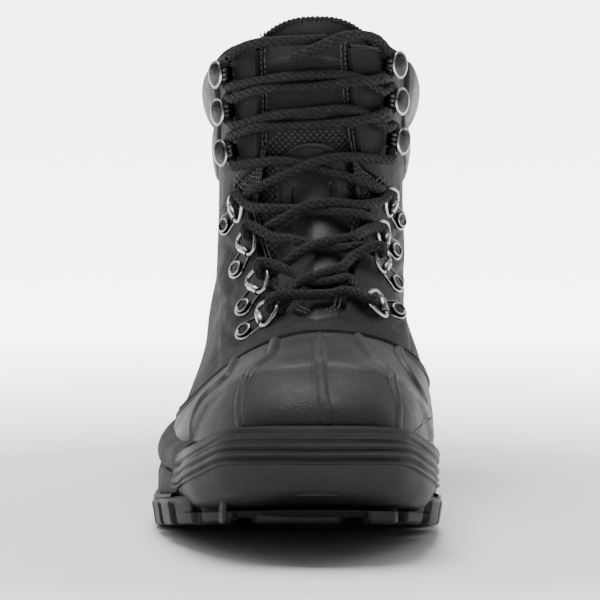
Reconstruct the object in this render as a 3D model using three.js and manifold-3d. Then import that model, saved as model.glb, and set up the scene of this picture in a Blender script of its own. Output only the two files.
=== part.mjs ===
// A laced winter boot for the right foot, in millimetres.
// The toe points to -Y, the inner side of the foot to +X, and the floor is at Z = 0.
import * as THREE from "three";
import { mergeVertices } from "three/addons/utils/BufferGeometryUtils.js";
import Module from "manifold-3d";

const wasm = await Module();
wasm.setup();

// Driving sizes of the last
const lastLength = 305;
const ballWidth = 104;
const shaftWidth = 77;
const instepRise = 106;
const collarRise = 164.5;

// Heights of the sole's upper face over the floor
const ballSeat = 22;
const heelSeat = 32;
const toeLift = 13;

// Walls and steps
const leatherWall = 2.8;
const footWall = 1.2;
const shellWall = 1.9;
const facingStep = 0.6;
const beadRadius = 1.7;
const ribRadius = 2;
const randWall = 3.6;
const bandStep = 0.9;
const bandDepth = 15.5;
const insoleThickness = 4;
const tongueThickness = 5;
const tonguePuff = 3.6;
const underFacing = 1.3;
const lowerPuff = 2.4;
const upperPuff = 5.8;
const clearance = 0.3;

// Sole
const soleOverhang = 4;
const soleFlare = 8;
const soleLength = lastLength + soleOverhang;
const soleWidth = ballWidth + 2 * soleFlare;
const outsoleThickness = 11.5;
const lugDepth = 4.5;
const toeSpring = 19;
const archLift = 6;
const heelBevel = 2.5;
const lugPitch = 20;
const lugGap = 6;

// Rubber shell, toe rand and collar heights over the floor
const shellHeight = 84;
const shellTilt = 0.1;
const randHeight = 56;
const collarHeight = 191;
const throatMiddle = 5;
const frontOfAll = -0.36 * lastLength;
const facingBack = 55;
const throatBack = 58;

// Metal fittings and lace
const plateThickness = 1;
const wireRadius = 0.95;
const ringWidth = 13;
const ringReach = 9.5;
const hingeReach = 8.5;
const rivetRadius = 3.1;
const barrelRadius = 2;
const barrelWidth = 6.8;
const hookWidth = 8;
const hookRise = 5.6;
const coverLength = 12;
const coverWidth = 8.8;
const laceRadius = 2.15;

const degree = Math.PI / 180;

// Tables

function table(columns, rows) {
  return rows.map((row) => Object.fromEntries(columns.map((name, i) => [name, row[i]])));
}

// Sections of the last from the toe along the foot, round the ankle and up the shaft.
// Y is a share of lastLength from the toe. Z is a share of instepRise over the seat, and what
// is over 1 goes on as a share of collarRise - instepRise. Half is the half width, a share of
// half the ball or shaft width; widest is how far down the section it lies; midX and topX are
// the places across, shares of ballWidth; topIn, topOut and base are the corner exponents.
const sections = table(
  ["topY", "topZ", "backY", "backZ", "half", "of", "widest", "midX", "topX", "topIn", "topOut", "base"],
  [
    [0.018, 0.133, 0.018, 0.096, 0.02, ballWidth, 0.5, 0.08, 0.081, 2.2, 2.2, 2.2],
    [0.023, 0.23, 0.023, 0.026, 0.32, ballWidth, 0.58, 0.075, 0.081, 2.4, 2.4, 2.6],
    [0.038, 0.3, 0.038, -0.02, 0.54, ballWidth, 0.65, 0.069, 0.08, 2.6, 2.5, 3],
    [0.067, 0.369, 0.067, -0.047, 0.67, ballWidth, 0.72, 0.063, 0.08, 2.7, 2.6, 3.5],
    [0.113, 0.436, 0.113, -0.069, 0.79, ballWidth, 0.77, 0.053, 0.079, 2.7, 2.5, 4],
    [0.179, 0.495, 0.179, -0.069, 0.86, ballWidth, 0.8, 0.04, 0.078, 2.6, 2.2, 4],
    [0.251, 0.55, 0.244, -0.07, 0.95, ballWidth, 0.82, 0.02, 0.078, 2.4, 1.85, 4],
    [0.316, 0.63, 0.32, -0.065, 0.985, ballWidth, 0.85, 0.007, 0.076, 2.45, 1.6, 4],
    [0.382, 0.731, 0.408, -0.06, 0.965, ballWidth, 0.85, -0.007, 0.072, 2.45, 1.55, 4],
    [0.441, 0.834, 0.516, -0.061, 0.885, ballWidth, 0.8, 0.006, 0.072, 2.35, 1.65, 4],
    [0.487, 0.928, 0.648, -0.059, 0.795, ballWidth, 0.7, 0.025, 0.072, 2.2, 1.85, 3.6],
    [0.516, 1, 0.788, -0.061, 1.05, shaftWidth, 0.6, 0.038, 0.066, 2.2, 2.1, 3],
    [0.533, 1.138, 0.893, -0.046, 1.025, shaftWidth, 0.55, 0.05, 0.064, 2.3, 2.2, 2.8],
    [0.543, 1.253, 0.962, 0.037, 1.02, shaftWidth, 0.5, 0.06, 0.064, 2.3, 2.3, 2.5],
    [0.549, 1.353, 0.982, 0.222, 1.01, shaftWidth, 0.5, 0.062, 0.064, 2.3, 2.3, 2.3],
    [0.554, 1.472, 0.98, 0.481, 1, shaftWidth, 0.5, 0.063, 0.064, 2.3, 2.3, 2.2],
    [0.559, 1.641, 0.97, 0.778, 1, shaftWidth, 0.5, 0.063, 0.064, 2.3, 2.3, 2.2],
    [0.566, 1.828, 0.964, 1.138, 1.01, shaftWidth, 0.5, 0.063, 0.064, 2.3, 2.3, 2.2],
    [0.572, 2, 0.959, 1.655, 1.03, shaftWidth, 0.5, 0.063, 0.064, 2.3, 2.3, 2.2],
    [0.579, 2.19, 0.956, 1.9, 1.05, shaftWidth, 0.5, 0.063, 0.064, 2.3, 2.3, 2.2],
    [0.585, 2.38, 0.952, 2.14, 1.06, shaftWidth, 0.5, 0.063, 0.064, 2.3, 2.3, 2.2],
  ],
);

// Where rings are cut through the last, in rows of the table: closer at the toe and heel
const ringStops = [
  0, 0.5, 1, 1.6, 2.4, 3.4, 4.7, 6, 7, 8, 9, 10, 11, 11.8, 12.5, 13.2, 14, 15, 16, 17, 18, 19, 20,
];
const pointsAround = 24;

// Sole outline: y from the middle as a share of soleLength, edges as shares of soleWidth
const soleRows = table(
  ["y", "outer", "inner"],
  [
    [-0.5, 0.015, 0.125],
    [-0.49, -0.06, 0.19],
    [-0.47, -0.15, 0.275],
    [-0.445, -0.245, 0.35],
    [-0.41, -0.33, 0.415],
    [-0.37, -0.385, 0.455],
    [-0.33, -0.415, 0.475],
    [-0.29, -0.445, 0.487],
    [-0.21, -0.487, 0.5],
    [-0.14, -0.5, 0.492],
    [-0.06, -0.488, 0.46],
    [0.02, -0.45, 0.425],
    [0.1, -0.405, 0.408],
    [0.18, -0.37, 0.4],
    [0.25, -0.342, 0.392],
    [0.33, -0.312, 0.378],
    [0.4, -0.265, 0.345],
    [0.45, -0.205, 0.292],
    [0.48, -0.135, 0.22],
    [0.495, -0.06, 0.14],
    [0.5, 0.01, 0.07],
  ],
);

// Top line of the rubber shell from the side: y shares of lastLength, z shares of shellHeight
const shellLine = table(
  ["y", "z"],
  [
    [-0.8, 1.7],
    [-0.3, 1.3],
    [-0.252, 1],
    [-0.23, 0.885],
    [-0.18, 0.735],
    [-0.125, 0.64],
    [-0.05, 0.575],
    [0.08, 0.55],
    [0.26, 0.575],
    [0.4, 0.645],
    [0.7, 0.74],
  ],
);

// Top line of the toe rand, the same way, with z as shares of randHeight
const randLine = table(
  ["y", "z"],
  [
    [-0.55, 1.03],
    [-0.48, 0.99],
    [-0.413, 0.83],
    [-0.36, 0.74],
    [-0.321, 0.68],
  ],
);

// Back end of the rand on each side, from its top to the outsole
const randEnd = table(
  ["y", "z"],
  [
    [-0.302, 0.43],
    [-0.285, 0.3],
    [-0.28, 0.1],
  ],
);

// Collar line from the side: z shares of collarHeight
const collarLine = table(
  ["y", "z"],
  [
    [-0.1, 1.03],
    [0.07, 1.015],
    [0.14, 0.995],
    [0.2, 0.984],
    [0.3, 0.984],
    [0.4, 1.015],
    [0.47, 1.035],
    [0.6, 1.04],
  ],
);

// Edges of the throat from the front: z shares of collarHeight, x shares of shaftWidth
const throatOuter = table(
  ["z", "x"],
  [
    [1.2, -0.29],
    [1, -0.282],
    [0.91, -0.27],
    [0.8, -0.27],
    [0.765, -0.28],
    [0.717, -0.43],
    [0.686, -0.33],
    [0.645, -0.312],
    [0.565, -0.253],
    [0.508, -0.2],
    [0.474, -0.127],
    [0.463, -0.05],
  ],
);
const throatInner = table(
  ["z", "x"],
  [
    [0.468, 0.11],
    [0.476, 0.195],
    [0.513, 0.22],
    [0.568, 0.26],
    [0.645, 0.304],
    [0.696, 0.357],
    [0.722, 0.468],
    [0.765, 0.292],
    [0.82, 0.273],
    [0.91, 0.247],
    [1.01, 0.234],
    [1.2, 0.234],
  ],
);

// Outer edge of the raised facing, the same way
const facingEdge = table(
  ["z", "x"],
  [
    [1.2, -0.53],
    [0.8, -0.545],
    [0.68, -0.57],
    [0.56, -0.53],
    [0.46, -0.49],
    [0.3, -0.46],
    [0.3, 0.53],
    [0.46, 0.54],
    [0.56, 0.56],
    [0.68, 0.575],
    [0.8, 0.555],
    [1.2, 0.51],
  ],
);

// Ribs moulded on the toe of the shell: rows and degrees round the last
const ribPaths = {
  middle: [[5.9, 0], [4.9, 2], [3.9, 3], [2.9, 4]],
  outerFold: [[5.75, -17], [4.75, -29], [3.8, -40], [2.85, -53]],
  innerFold: [[5.85, 15], [4.85, 29], [3.9, 42], [3.05, 56]],
  outerSide: [[6, -36], [5.55, -49], [5.15, -61]],
  innerSide: [[6.05, 36], [5.9, 49], [5.7, 61]],
};

// Ring plates: where the rivet and the ring's middle lie on the last, rows and degrees
const ringPlaces = table(
  ["name", "rivetRow", "rivetAt", "ringRow", "ringAt"],
  [
    ["outer_1", 12.3, -54, 12.35, -45],
    ["outer_2", 9.9, -43, 10.15, -34],
    ["outer_3", 8.3, -35, 8.5, -25],
    ["outer_4", 7.35, -34, 7.25, -22],
    ["inner_1", 12.8, 58, 12.9, 48],
    ["inner_2", 10.95, 51, 10.8, 39],
    ["inner_3", 9.05, 41, 9.05, 28],
    ["inner_4", 7.75, 35, 7.4, 21],
  ],
);

const hookPlaces = table(
  ["name", "row", "at"],
  [
    ["outer_1", 17.75, -55],
    ["outer_2", 16.6, -54],
    ["outer_3", 15.3, -51],
    ["inner_1", 18, 47],
    ["inner_2", 16.85, 50],
    ["inner_3", 15.7, 52],
  ],
);

// Lace strands, chosen along the photo's route: rows, degrees, and height over the last as a
// share of laceRadius. In each pair the first strand passes over the second.
const barPath = [[7.42, -9, 2.6], [7.4, -3, 2.2], [7.42, 4, 2.2], [7.5, 10, 2.7]];
const crossings = [
  [
    [[8.72, 15, 3.1], [8.25, 9, 3], [7.98, 2, 2.9], [7.82, -5, 3], [7.74, -10, 2.9]],
    [[8.22, -12, 2.7], [8.05, -9, 2.4], [7.86, -4, 1.8], [7.82, 1, 1.9], [7.84, 7, 2.5], [7.92, 11, 2.8]],
  ],
  [
    [[10, 25, 3.1], [9.3, 15, 3.3], [8.95, 4, 3.5], [8.72, -6, 3.4], [8.6, -12, 3.2]],
    [[9.6, -20, 3.1], [9.3, -12, 2.8], [9.05, -4, 2.3], [8.92, 4, 2.2], [8.92, 12, 2.9], [9.08, 18, 3.2]],
  ],
  [
    [[11.9, 34, 3.3], [11, 22, 3.3], [10.5, 6, 3.5], [10.28, -4, 3.6], [10.1, -13, 3.4], [10.08, -20, 3.2]],
    [
      [11.5, -31, 3.3], [10.85, -20, 3], [10.45, -8, 2.3],
      [10.24, 3, 2.3], [10.25, 13, 2.9], [10.55, 24, 3.2],
    ],
  ],
  [
    [[14.85, 44, 3.7], [14, 24, 3.3], [13.4, 9, 3.4], [12.85, 0, 3.6], [12.3, -9, 3.5], [12.2, -31, 3.3]],
    [
      [14.4, -42, 3.7], [13.9, -30, 3.3], [13.4, -16, 2.8],
      [12.95, -4, 2.3], [12.35, 12, 2.7], [12.5, 32, 3.3],
    ],
  ],
  [
    [
      [15.65, -43, 3.5], [15.6, -27, 3.2], [15.42, -6, 2.3],
      [15.55, 12, 2.8], [15.95, 28, 4.2], [16.3, 37, 4.2],
    ],
    [
      [15.85, 40, 3.4], [16.1, 24, 2.9], [16.1, 13, 2.5],
      [15.95, 0, 2.4], [15.9, -18, 2.8], [15.95, -42, 3.5],
    ],
  ],
  [
    [
      [16.85, -44, 3.6], [16.9, -24, 3.2], [16.9, 1, 2.3],
      [17.12, 17, 3.3], [17.28, 28, 4.2], [17.45, 35, 4.2],
    ],
    [[17, 37, 3.4], [17.3, 24, 2.9], [17.4, 13, 2.5], [17.4, 0, 2.4], [17.28, -18, 2.9], [17.25, -43, 3.5]],
  ],
];
// Each lace end, from the top hook to where it goes behind
const looseEnds = {
  outer: [[18.25, -44, 3.7], [18.55, -36, 3.3], [18.7, -25, 3], [18.75, -9, 2.3], [18.8, 6, 2.3]],
  inner: [
    [18.42, 40, 3.7], [18.85, 32, 3.5], [18.95, 24, 3.6], [18.85, 13, 4.3], [18.4, 1, 3.9], [18.05, -9, 3.1],
  ],
};

// Shape of the last

function mix(a, b, t) {
  return a + (b - a) * t;
}

function ease(a, b, x) {
  const t = Math.min(1, Math.max(0, (x - a) / (b - a)));
  return t * t * (3 - 2 * t);
}

function seatHeight(y) {
  const along = y / lastLength + 0.5;
  const lift = Math.max(0, (0.32 - along) / 0.32) ** 2;
  return mix(ballSeat, heelSeat, ease(0.35, 0.85, along)) + toeLift * lift;
}

function riseOf(share) {
  return share <= 1 ? share * instepRise : instepRise + (share - 1) * (collarRise - instepRise);
}

const placed = sections.map(function (row) {
  const topY = (row.topY - 0.5) * lastLength;
  const backY = (row.backY - 0.5) * lastLength;
  return {
    topY,
    backY,
    topZ: seatHeight(topY) + riseOf(row.topZ),
    backZ: seatHeight(backY) + riseOf(row.backZ),
    half: (row.half * row.of) / 2,
    widest: row.widest,
    midX: row.midX * ballWidth,
    topX: row.topX * ballWidth,
    topIn: row.topIn,
    topOut: row.topOut,
    base: row.base,
  };
});
const lastRow = placed.length - 1;

function curve(before, from, to, after, t) {
  const bend = 2 * before - 5 * from + 4 * to - after + t * (3 * (from - to) + after - before);
  return from + 0.5 * t * (to - before + t * bend);
}

function sectionAt(row) {
  const at = Math.min(lastRow, Math.max(0, row));
  const i = Math.min(lastRow - 1, Math.floor(at));
  const [from, to] = [placed[i], placed[i + 1]];
  const section = {};
  for (const key of Object.keys(from)) {
    const before = i > 0 ? placed[i - 1][key] : 2 * from[key] - to[key];
    const after = i + 2 <= lastRow ? placed[i + 2][key] : 2 * to[key] - from[key];
    section[key] = curve(before, from[key], to[key], after, at - i);
  }
  return section;
}

function bareLast(row, around) {
  const s = sectionAt(row);
  const angle = Math.abs(Math.atan2(Math.sin(around), Math.cos(around)));
  const side = Math.sin(around) >= 0 ? 1 : -1;
  const above = angle <= Math.PI / 2;
  const topPower = side > 0 ? s.topIn : s.topOut;
  const power = 2 / (above ? topPower : s.base);
  const fall = Math.abs(Math.cos(angle)) ** power;
  const reach = Math.abs(Math.sin(angle)) ** power;
  const down = above ? s.widest * (1 - fall) : s.widest + (1 - s.widest) * fall;
  const x = mix(s.topX, s.midX, Math.min(1, down / s.widest)) + side * s.half * reach;
  return new THREE.Vector3(x, mix(s.topY, s.backY, down), mix(s.topZ, s.backZ, down));
}

function outward(row, around) {
  const step = 0.02;
  const alongRows = bareLast(Math.min(row + step, lastRow), around);
  alongRows.sub(bareLast(Math.max(row - step, 0), around));
  const acrossRow = bareLast(row, around + step).sub(bareLast(row, around - step));
  return acrossRow.cross(alongRows).normalize();
}

// A point over the last, with its place round it in degrees
function overLast(row, at, height) {
  const around = at * degree;
  return bareLast(row, around).addScaledVector(outward(row, around), height);
}

// Solids

// A closed solid from points and triangles, turned outside out where they run the other way
function solidOf(points, faces) {
  const positions = new Float32Array(points.flatMap((p) => [p.x, p.y, p.z]));
  const build = function (triangles) {
    const triVerts = Uint32Array.from(triangles.flat());
    return new wasm.Manifold(new wasm.Mesh({ numProp: 3, vertProperties: positions, triVerts }));
  };
  const solid = build(faces);
  return solid.volume() > 0 ? solid : build(faces.map(([a, b, c]) => [a, c, b]));
}

function fromGeometry(geometry) {
  const bare = new THREE.BufferGeometry();
  bare.setAttribute("position", geometry.getAttribute("position"));
  if (geometry.index) bare.setIndex(geometry.index);
  const merged = mergeVertices(bare, 1e-4);
  const place = merged.getAttribute("position");
  const points = [];
  for (let i = 0; i < place.count; i += 1) {
    points.push(new THREE.Vector3().fromBufferAttribute(place, i));
  }
  const faces = [];
  for (let i = 0; i < merged.index.count; i += 3) {
    const face = [0, 1, 2].map((k) => merged.index.getX(i + k));
    if (new Set(face).size === 3) faces.push(face);
  }
  return solidOf(points, faces);
}

// The faces between rings of `count` points that follow each other
function wallFaces(ringCount, count) {
  const faces = [];
  for (let i = 0; i + 1 < ringCount; i += 1) {
    for (let k = 0; k < count; k += 1) {
      const [a, b] = [i * count + k, i * count + ((k + 1) % count)];
      faces.push([a, b, b + count], [a, b + count, a + count]);
    }
  }
  return faces;
}

// A closed skin through rings of points, with a middle point at each end
function loft(rings) {
  const count = rings[0].length;
  const points = rings.flat();
  const faces = wallFaces(rings.length, count);
  const lastStart = (rings.length - 1) * count;
  for (const start of [0, lastStart]) {
    const ring = points.slice(start, start + count);
    points.push(ring.reduce((sum, p) => sum.add(p), new THREE.Vector3()).divideScalar(count));
    const middle = rings.flat().length + (start > 0 ? 1 : 0);
    for (let k = 0; k < count; k += 1) {
      const [a, b] = [start + k, start + ((k + 1) % count)];
      faces.push(start > 0 ? [middle, a, b] : [middle, b, a]);
    }
  }
  return solidOf(points, faces);
}

// A tube that closes on itself, round a loop of points that lies about across `normal`
function hoop(path, radius, sides, normal = new THREE.Vector3(0, 0, 1)) {
  const points = [];
  const faces = [];
  path.forEach(function (p, i) {
    const ahead = path[(i + 1) % path.length].clone().sub(path.at(i - 1)).normalize();
    const up = normal.clone().addScaledVector(ahead, -ahead.dot(normal)).normalize();
    const out = ahead.clone().cross(up);
    for (let k = 0; k < sides; k += 1) {
      const turn = (2 * Math.PI * k) / sides;
      const across = p.clone().addScaledVector(out, radius * Math.cos(turn));
      points.push(across.addScaledVector(up, radius * Math.sin(turn)));
    }
  });
  for (let i = 0; i < path.length; i += 1) {
    for (let k = 0; k < sides; k += 1) {
      const [here, next] = [i * sides, ((i + 1) % path.length) * sides];
      const [a, b] = [k, (k + 1) % sides];
      faces.push([here + a, here + b, next + b], [here + a, next + b, next + a]);
    }
  }
  return solidOf(points, faces);
}

// A tube with closed ends along points
function tube(path, radius, sides, steps) {
  const circle = new THREE.Shape();
  for (let k = 0; k < sides; k += 1) {
    const turn = (2 * Math.PI * k) / sides;
    const corner = [radius * Math.cos(turn), radius * Math.sin(turn)];
    if (k === 0) circle.moveTo(...corner);
    else circle.lineTo(...corner);
  }
  const extrudePath = new THREE.CatmullRomCurve3(path);
  return fromGeometry(new THREE.ExtrudeGeometry(circle, { steps, bevelEnabled: false, extrudePath }));
}

// A slab of the sole: rings paired left and right, so its ends follow the seat's side view
function slab(rings) {
  const count = rings[0].length;
  const points = rings.flat();
  const faces = wallFaces(rings.length, count);
  const top = (rings.length - 1) * count;
  for (let k = 0; k + 1 < count / 2; k += 1) {
    const [a, b, c, d] = [k, k + 1, count - 2 - k, count - 1 - k];
    faces.push([a, c, b], [a, d, c], [top + a, top + b, top + c], [top + a, top + c, top + d]);
  }
  return solidOf(points, faces);
}

// A pad on the last: `place` gives row, degrees, lower and upper height at shares p and q
function patch(alongSteps, acrossSteps, place) {
  const [points, faces] = [[], []];
  const wide = acrossSteps + 1;
  const layer = (alongSteps + 1) * wide;
  for (const key of ["high", "low"]) {
    for (let i = 0; i <= alongSteps; i += 1) {
      for (let k = 0; k <= acrossSteps; k += 1) {
        const at = place(i / alongSteps, k / acrossSteps);
        points.push(overLast(at.row, at.at, at[key]));
      }
    }
  }
  const quad = (a, b, c, d) => faces.push([a, b, c], [a, c, d]);
  for (let i = 0; i < alongSteps; i += 1) {
    for (let k = 0; k < acrossSteps; k += 1) {
      const a = i * wide + k;
      quad(a, a + 1, a + wide + 1, a + wide);
      quad(layer + a, layer + a + wide, layer + a + wide + 1, layer + a + 1);
    }
    const [left, right] = [i * wide, i * wide + acrossSteps];
    quad(left, left + wide, layer + left + wide, layer + left);
    quad(right, layer + right, layer + right + wide, right + wide);
  }
  for (let k = 0; k < acrossSteps; k += 1) {
    const last = alongSteps * wide + k;
    quad(k, layer + k, layer + k + 1, k + 1);
    quad(last, last + 1, layer + last + 1, layer + last);
  }
  return solidOf(points, faces);
}

// An outline of [x, y] corners carried up by `depth`, then put in place by `matrix`
function extruded(points, depth, matrix) {
  const shape = new THREE.Shape(points.map(([x, y]) => new THREE.Vector2(x, y)));
  const geometry = new THREE.ExtrudeGeometry(shape, { depth, bevelEnabled: false });
  return fromGeometry(geometry.applyMatrix4(matrix));
}

// A side view, [y, z], carried right across the boot; `tilt` raises it toward the inner side
function acrossBoot(outline, tilt = 0) {
  const half = soleWidth;
  const matrix = new THREE.Matrix4().set(0, 0, 1, -half, 1, 0, 0, 0, 0, 1, tilt, -tilt * half, 0, 0, 0, 1);
  return extruded(outline, 2 * half, matrix);
}

// A front view, [x, z], carried back from yFrom to yTo
function intoBoot(outline, yFrom, yTo) {
  const matrix = new THREE.Matrix4().set(1, 0, 0, 0, 0, 0, 1, yFrom, 0, 1, 0, 0, 0, 0, 0, 1);
  return extruded(outline, yTo - yFrom, matrix);
}

// The whole last grown by `height`, closed at the toe and over the collar
function grownLast(height) {
  const rings = ringStops.map((row) =>
    Array.from({ length: pointsAround }, (_, k) => overLast(row, (360 * k) / pointsAround, height)));
  return loft(rings);
}

// Lines seen from the side

function lineAt(rows, y, lengthUnit, heightUnit) {
  const along = y / lengthUnit;
  const i = Math.max(0, Math.min(rows.length - 2, rows.findIndex((row) => row.y > along) - 1));
  const before = rows[Math.max(0, i - 1)];
  const after = rows[Math.min(rows.length - 1, i + 2)];
  const t = (along - rows[i].y) / (rows[i + 1].y - rows[i].y);
  return heightUnit * curve(before.z, rows[i].z, rows[i + 1].z, after.z, Math.min(1, Math.max(0, t)));
}

// How far cutting shapes go on below the floor
const wayDown = -40;

// The outline of what lies under a height that changes along the boot
function under(heightAt, pieces = 18, from = -0.56 * lastLength, to = 0.56 * lastLength) {
  const top = Array.from({ length: pieces + 1 }, function (_, i) {
    const y = mix(from, to, i / pieces);
    return [y, heightAt(y)];
  });
  return [[to, wayDown], [from, wayDown], ...top];
}

const shellTopAt = (y) => lineAt(shellLine, y, lastLength, shellHeight);
const collarTopAt = (y) => lineAt(collarLine, y, lastLength, collarHeight);

// Sole

// How far the sole's ground face is over the floor: toe spring, arch and the heel's back edge
function groundAt(y) {
  const along = y / soleLength;
  const toe = Math.max(0, (-0.13 - along) / 0.37) ** 1.15;
  const arch = ease(-0.05, 0.01, along) * (1 - ease(0.09, 0.155, along));
  const heel = ease(0.465, 0.5, along);
  return toeSpring * toe + archLift * arch + heelBevel * heel;
}
const outsoleTopAt = (y) => groundAt(y) + outsoleThickness;

const soleStations = 22;

// The sole's outline as a ring of points, moved in by `inset`
function solePlan(inset) {
  const lastSoleRow = soleRows.length - 1;
  const read = (n, key) => soleRows[Math.max(0, Math.min(lastSoleRow, n))][key];
  const edge = (side) =>
    Array.from({ length: soleStations }, function (_, i) {
      const at = (i / (soleStations - 1)) * lastSoleRow;
      const k = Math.min(lastSoleRow - 1, Math.floor(at));
      const share = (key) =>
        curve(read(k - 1, key), read(k, key), read(k + 1, key), read(k + 2, key), at - k);
      return new THREE.Vector2(share(side) * soleWidth, share("y") * soleLength);
    });
  const ring = [...edge("inner"), ...edge("outer").reverse()];
  return ring.map(function (p, i) {
    const along = ring[(i + 1) % ring.length].clone().sub(ring.at(i - 1)).normalize();
    return new THREE.Vector2(p.x - along.y * inset, p.y + along.x * inset);
  });
}

// Rings of a slab from its levels: the height at each y, and how far the edge lies in
function soleRings(levels) {
  return levels.map(([heightAt, inset]) =>
    solePlan(inset).map((p) => new THREE.Vector3(p.x, p.y, heightAt(p.y))));
}

const overSeat = (height) => (y) => seatHeight(y) + height;
const overGround = (height) => (y) => groundAt(y) + height;
const overOutsole = (share) => (y) => mix(outsoleTopAt(y), seatHeight(y), share);

// Solids that hold all that is under one of the boot's lines
const belowOutsoleTop = acrossBoot(under(outsoleTopAt));
const belowMidsole = acrossBoot(under(overGround(outsoleThickness + clearance)));
const belowSeat = acrossBoot(under(overSeat(0)));
const belowSoleTop = acrossBoot(under(overSeat(-clearance)));
const belowShellLine = acrossBoot(under(shellTopAt), shellTilt);
const belowShellEdge = acrossBoot(under((y) => shellTopAt(y) - clearance), shellTilt);
const belowCollar = acrossBoot(under(collarTopAt));

// Heights over the last at which one layer ends and the next begins
const leatherOut = leatherWall;
const facingOut = leatherWall + facingStep;
const shellIn = footWall + clearance;
const shellOut = shellIn + shellWall;
const randIn = shellOut + clearance;
const randOut = randIn + randWall;
const fittingFoot = facingOut + 1.7 * clearance;

// Toe rand from the side, grown back by `back` past its end
function randSide(back) {
  const front = -0.6 * soleLength;
  const top = randLine.map((row) => [row.y * lastLength, row.z * randHeight]);
  const end = randEnd.map((row) => [row.y * lastLength, row.z * randHeight]);
  const side = [...top, ...end].map(([y, z]) => [y + back, z]);
  return [[front, -1], [front, randHeight * 1.03], ...side, [side.at(-1)[0], -1]];
}

// The raised band under the rand's top
function randBand() {
  const line = (drop) => randLine.map((row) => [row.y * lastLength, row.z * randHeight - drop]);
  return acrossBoot([...line(0), ...line(bandDepth).reverse()]);
}

// Outlines of the tread's lugs, three across, under the forefoot and under the heel
function lugOutlines() {
  const outlines = [];
  const fields = [
    { first: -0.43 * soleLength, count: 6 },
    { first: 0.16 * soleLength, count: 5 },
  ];
  const columns = [
    { left: -0.6, right: -0.2, lean: -4 },
    { left: -0.155, right: 0.165, lean: 0 },
    { left: 0.21, right: 0.6, lean: 4 },
  ];
  const depth = lugPitch - lugGap;
  for (const { first, count } of fields) {
    for (let i = 0; i < count; i += 1) {
      for (const { left, right, lean } of columns) {
        const y = first + i * lugPitch;
        const [a, b] = [left * soleWidth, right * soleWidth];
        outlines.push([[a, y - lean], [b, y + lean], [b, y + lean + depth], [a, y - lean + depth]]);
      }
    }
  }
  return outlines;
}

// The tread with its flared edge, and the toe rand that is moulded on it
function makeOutsole() {
  const levels = [[lugDepth, 3], [6.6, 0.5], [9.4, 0], [outsoleThickness + 1, 2.2]];
  const edge = slab(soleRings(levels.map(([height, inset]) => [overGround(height), inset])));
  const below = (height) => acrossBoot(under(overGround(height)));
  const upright = new THREE.Matrix4().makeTranslation(0, 0, -1);
  const lugs = wasm.Manifold.union(lugOutlines().map((outline) => extruded(outline, 40, upright)));
  const plan = extruded(solePlan(1.1).map((p) => [p.x, p.y]), 50, upright);
  const tread = lugs.intersect(plan).intersect(below(lugDepth + 0.35 * outsoleThickness)).subtract(below(0));
  const band = randBand().intersect(grownLast(randOut + bandStep));
  const rand = acrossBoot(randSide(0)).intersect(grownLast(randOut)).subtract(below(lugDepth + 0.5));
  const cavity = grownLast(randIn).subtract(belowSoleTop);
  const body = wasm.Manifold.union([edge.intersect(belowOutsoleTop), rand, band]);
  return body.subtract(cavity).add(tread);
}

// Two stacked bulges between the tread and the foot shell, behind the rand
function makeMidsole() {
  const levels = [[-0.1, 5], [0.15, 3], [0.6, 2.5], [1.1, 5.5]];
  const block = slab(soleRings(levels.map(([share, inset]) => [overOutsole(share), inset])));
  return block.intersect(belowSoleTop).subtract(belowMidsole).subtract(acrossBoot(randSide(clearance)));
}

// Felt footbed, a little clear of the wall round it
function makeInsole() {
  const top = acrossBoot(under(overSeat(insoleThickness)));
  return grownLast(-2 * clearance).intersect(top).subtract(belowSeat);
}

// Where a value that changes sign between two places is nought
function root(value, from, to) {
  let [low, high] = [from, to];
  for (let i = 0; i < 40; i += 1) {
    const middle = (low + high) / 2;
    if (value(middle) * value(low) > 0) low = middle;
    else high = middle;
  }
  return (low + high) / 2;
}

// Where the shell's top line crosses the last, on one side, from the vamp to the heel
function lineOnLast(side, height, drop, steps) {
  const over = function (row, at) {
    const p = overLast(row, side * at, height);
    return p.z - (shellTopAt(p.y) + shellTilt * p.x - drop);
  };
  const firstRow = root((row) => over(row, 0), 5, 8);
  const endRow = root((row) => over(row, 180), 12, 16);
  return Array.from({ length: steps + 1 }, function (_, i) {
    if (i === 0) return overLast(firstRow, 0, height);
    if (i === steps) return overLast(endRow, 180, height);
    const row = mix(firstRow, endRow, (1 - Math.cos((Math.PI * i) / steps)) / 2);
    return overLast(row, side * root((at) => over(row, at), 0, 180), height);
  });
}

// Rubber foot shell with a bead along its top line, ribs over the toe and a roll at its foot
function makeShell() {
  const sunk = 0.3;
  const drop = clearance + beadRadius;
  const outer = lineOnLast(-1, shellOut - sunk, drop, 15);
  const inner = lineOnLast(1, shellOut - sunk, drop, 15).slice(1, -1).reverse();
  const bead = hoop([...outer, ...inner], beadRadius, 6);
  const ribs = Object.values(ribPaths).map((path) =>
    tube(path.map(([row, at]) => overLast(row, at, shellOut - sunk)), ribRadius, 6, 5));
  const rolled = [[2.2, 5.6], [4.6, 2.7], [10.8, 2.7], [13.6, 6.5]];
  const roll = slab(soleRings(rolled.map(([height, inset]) => [overSeat(height), inset])));
  const behindRand = acrossBoot(randSide(clearance));
  const whole = wasm.Manifold.union([grownLast(shellOut), bead, ...ribs, roll.subtract(behindRand)]);
  return whole.intersect(belowShellEdge).subtract(grownLast(shellIn)).subtract(belowSeat);
}

const fromMiddle = (row) => [throatMiddle + row.x * shaftWidth, row.z * collarHeight];

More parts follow.
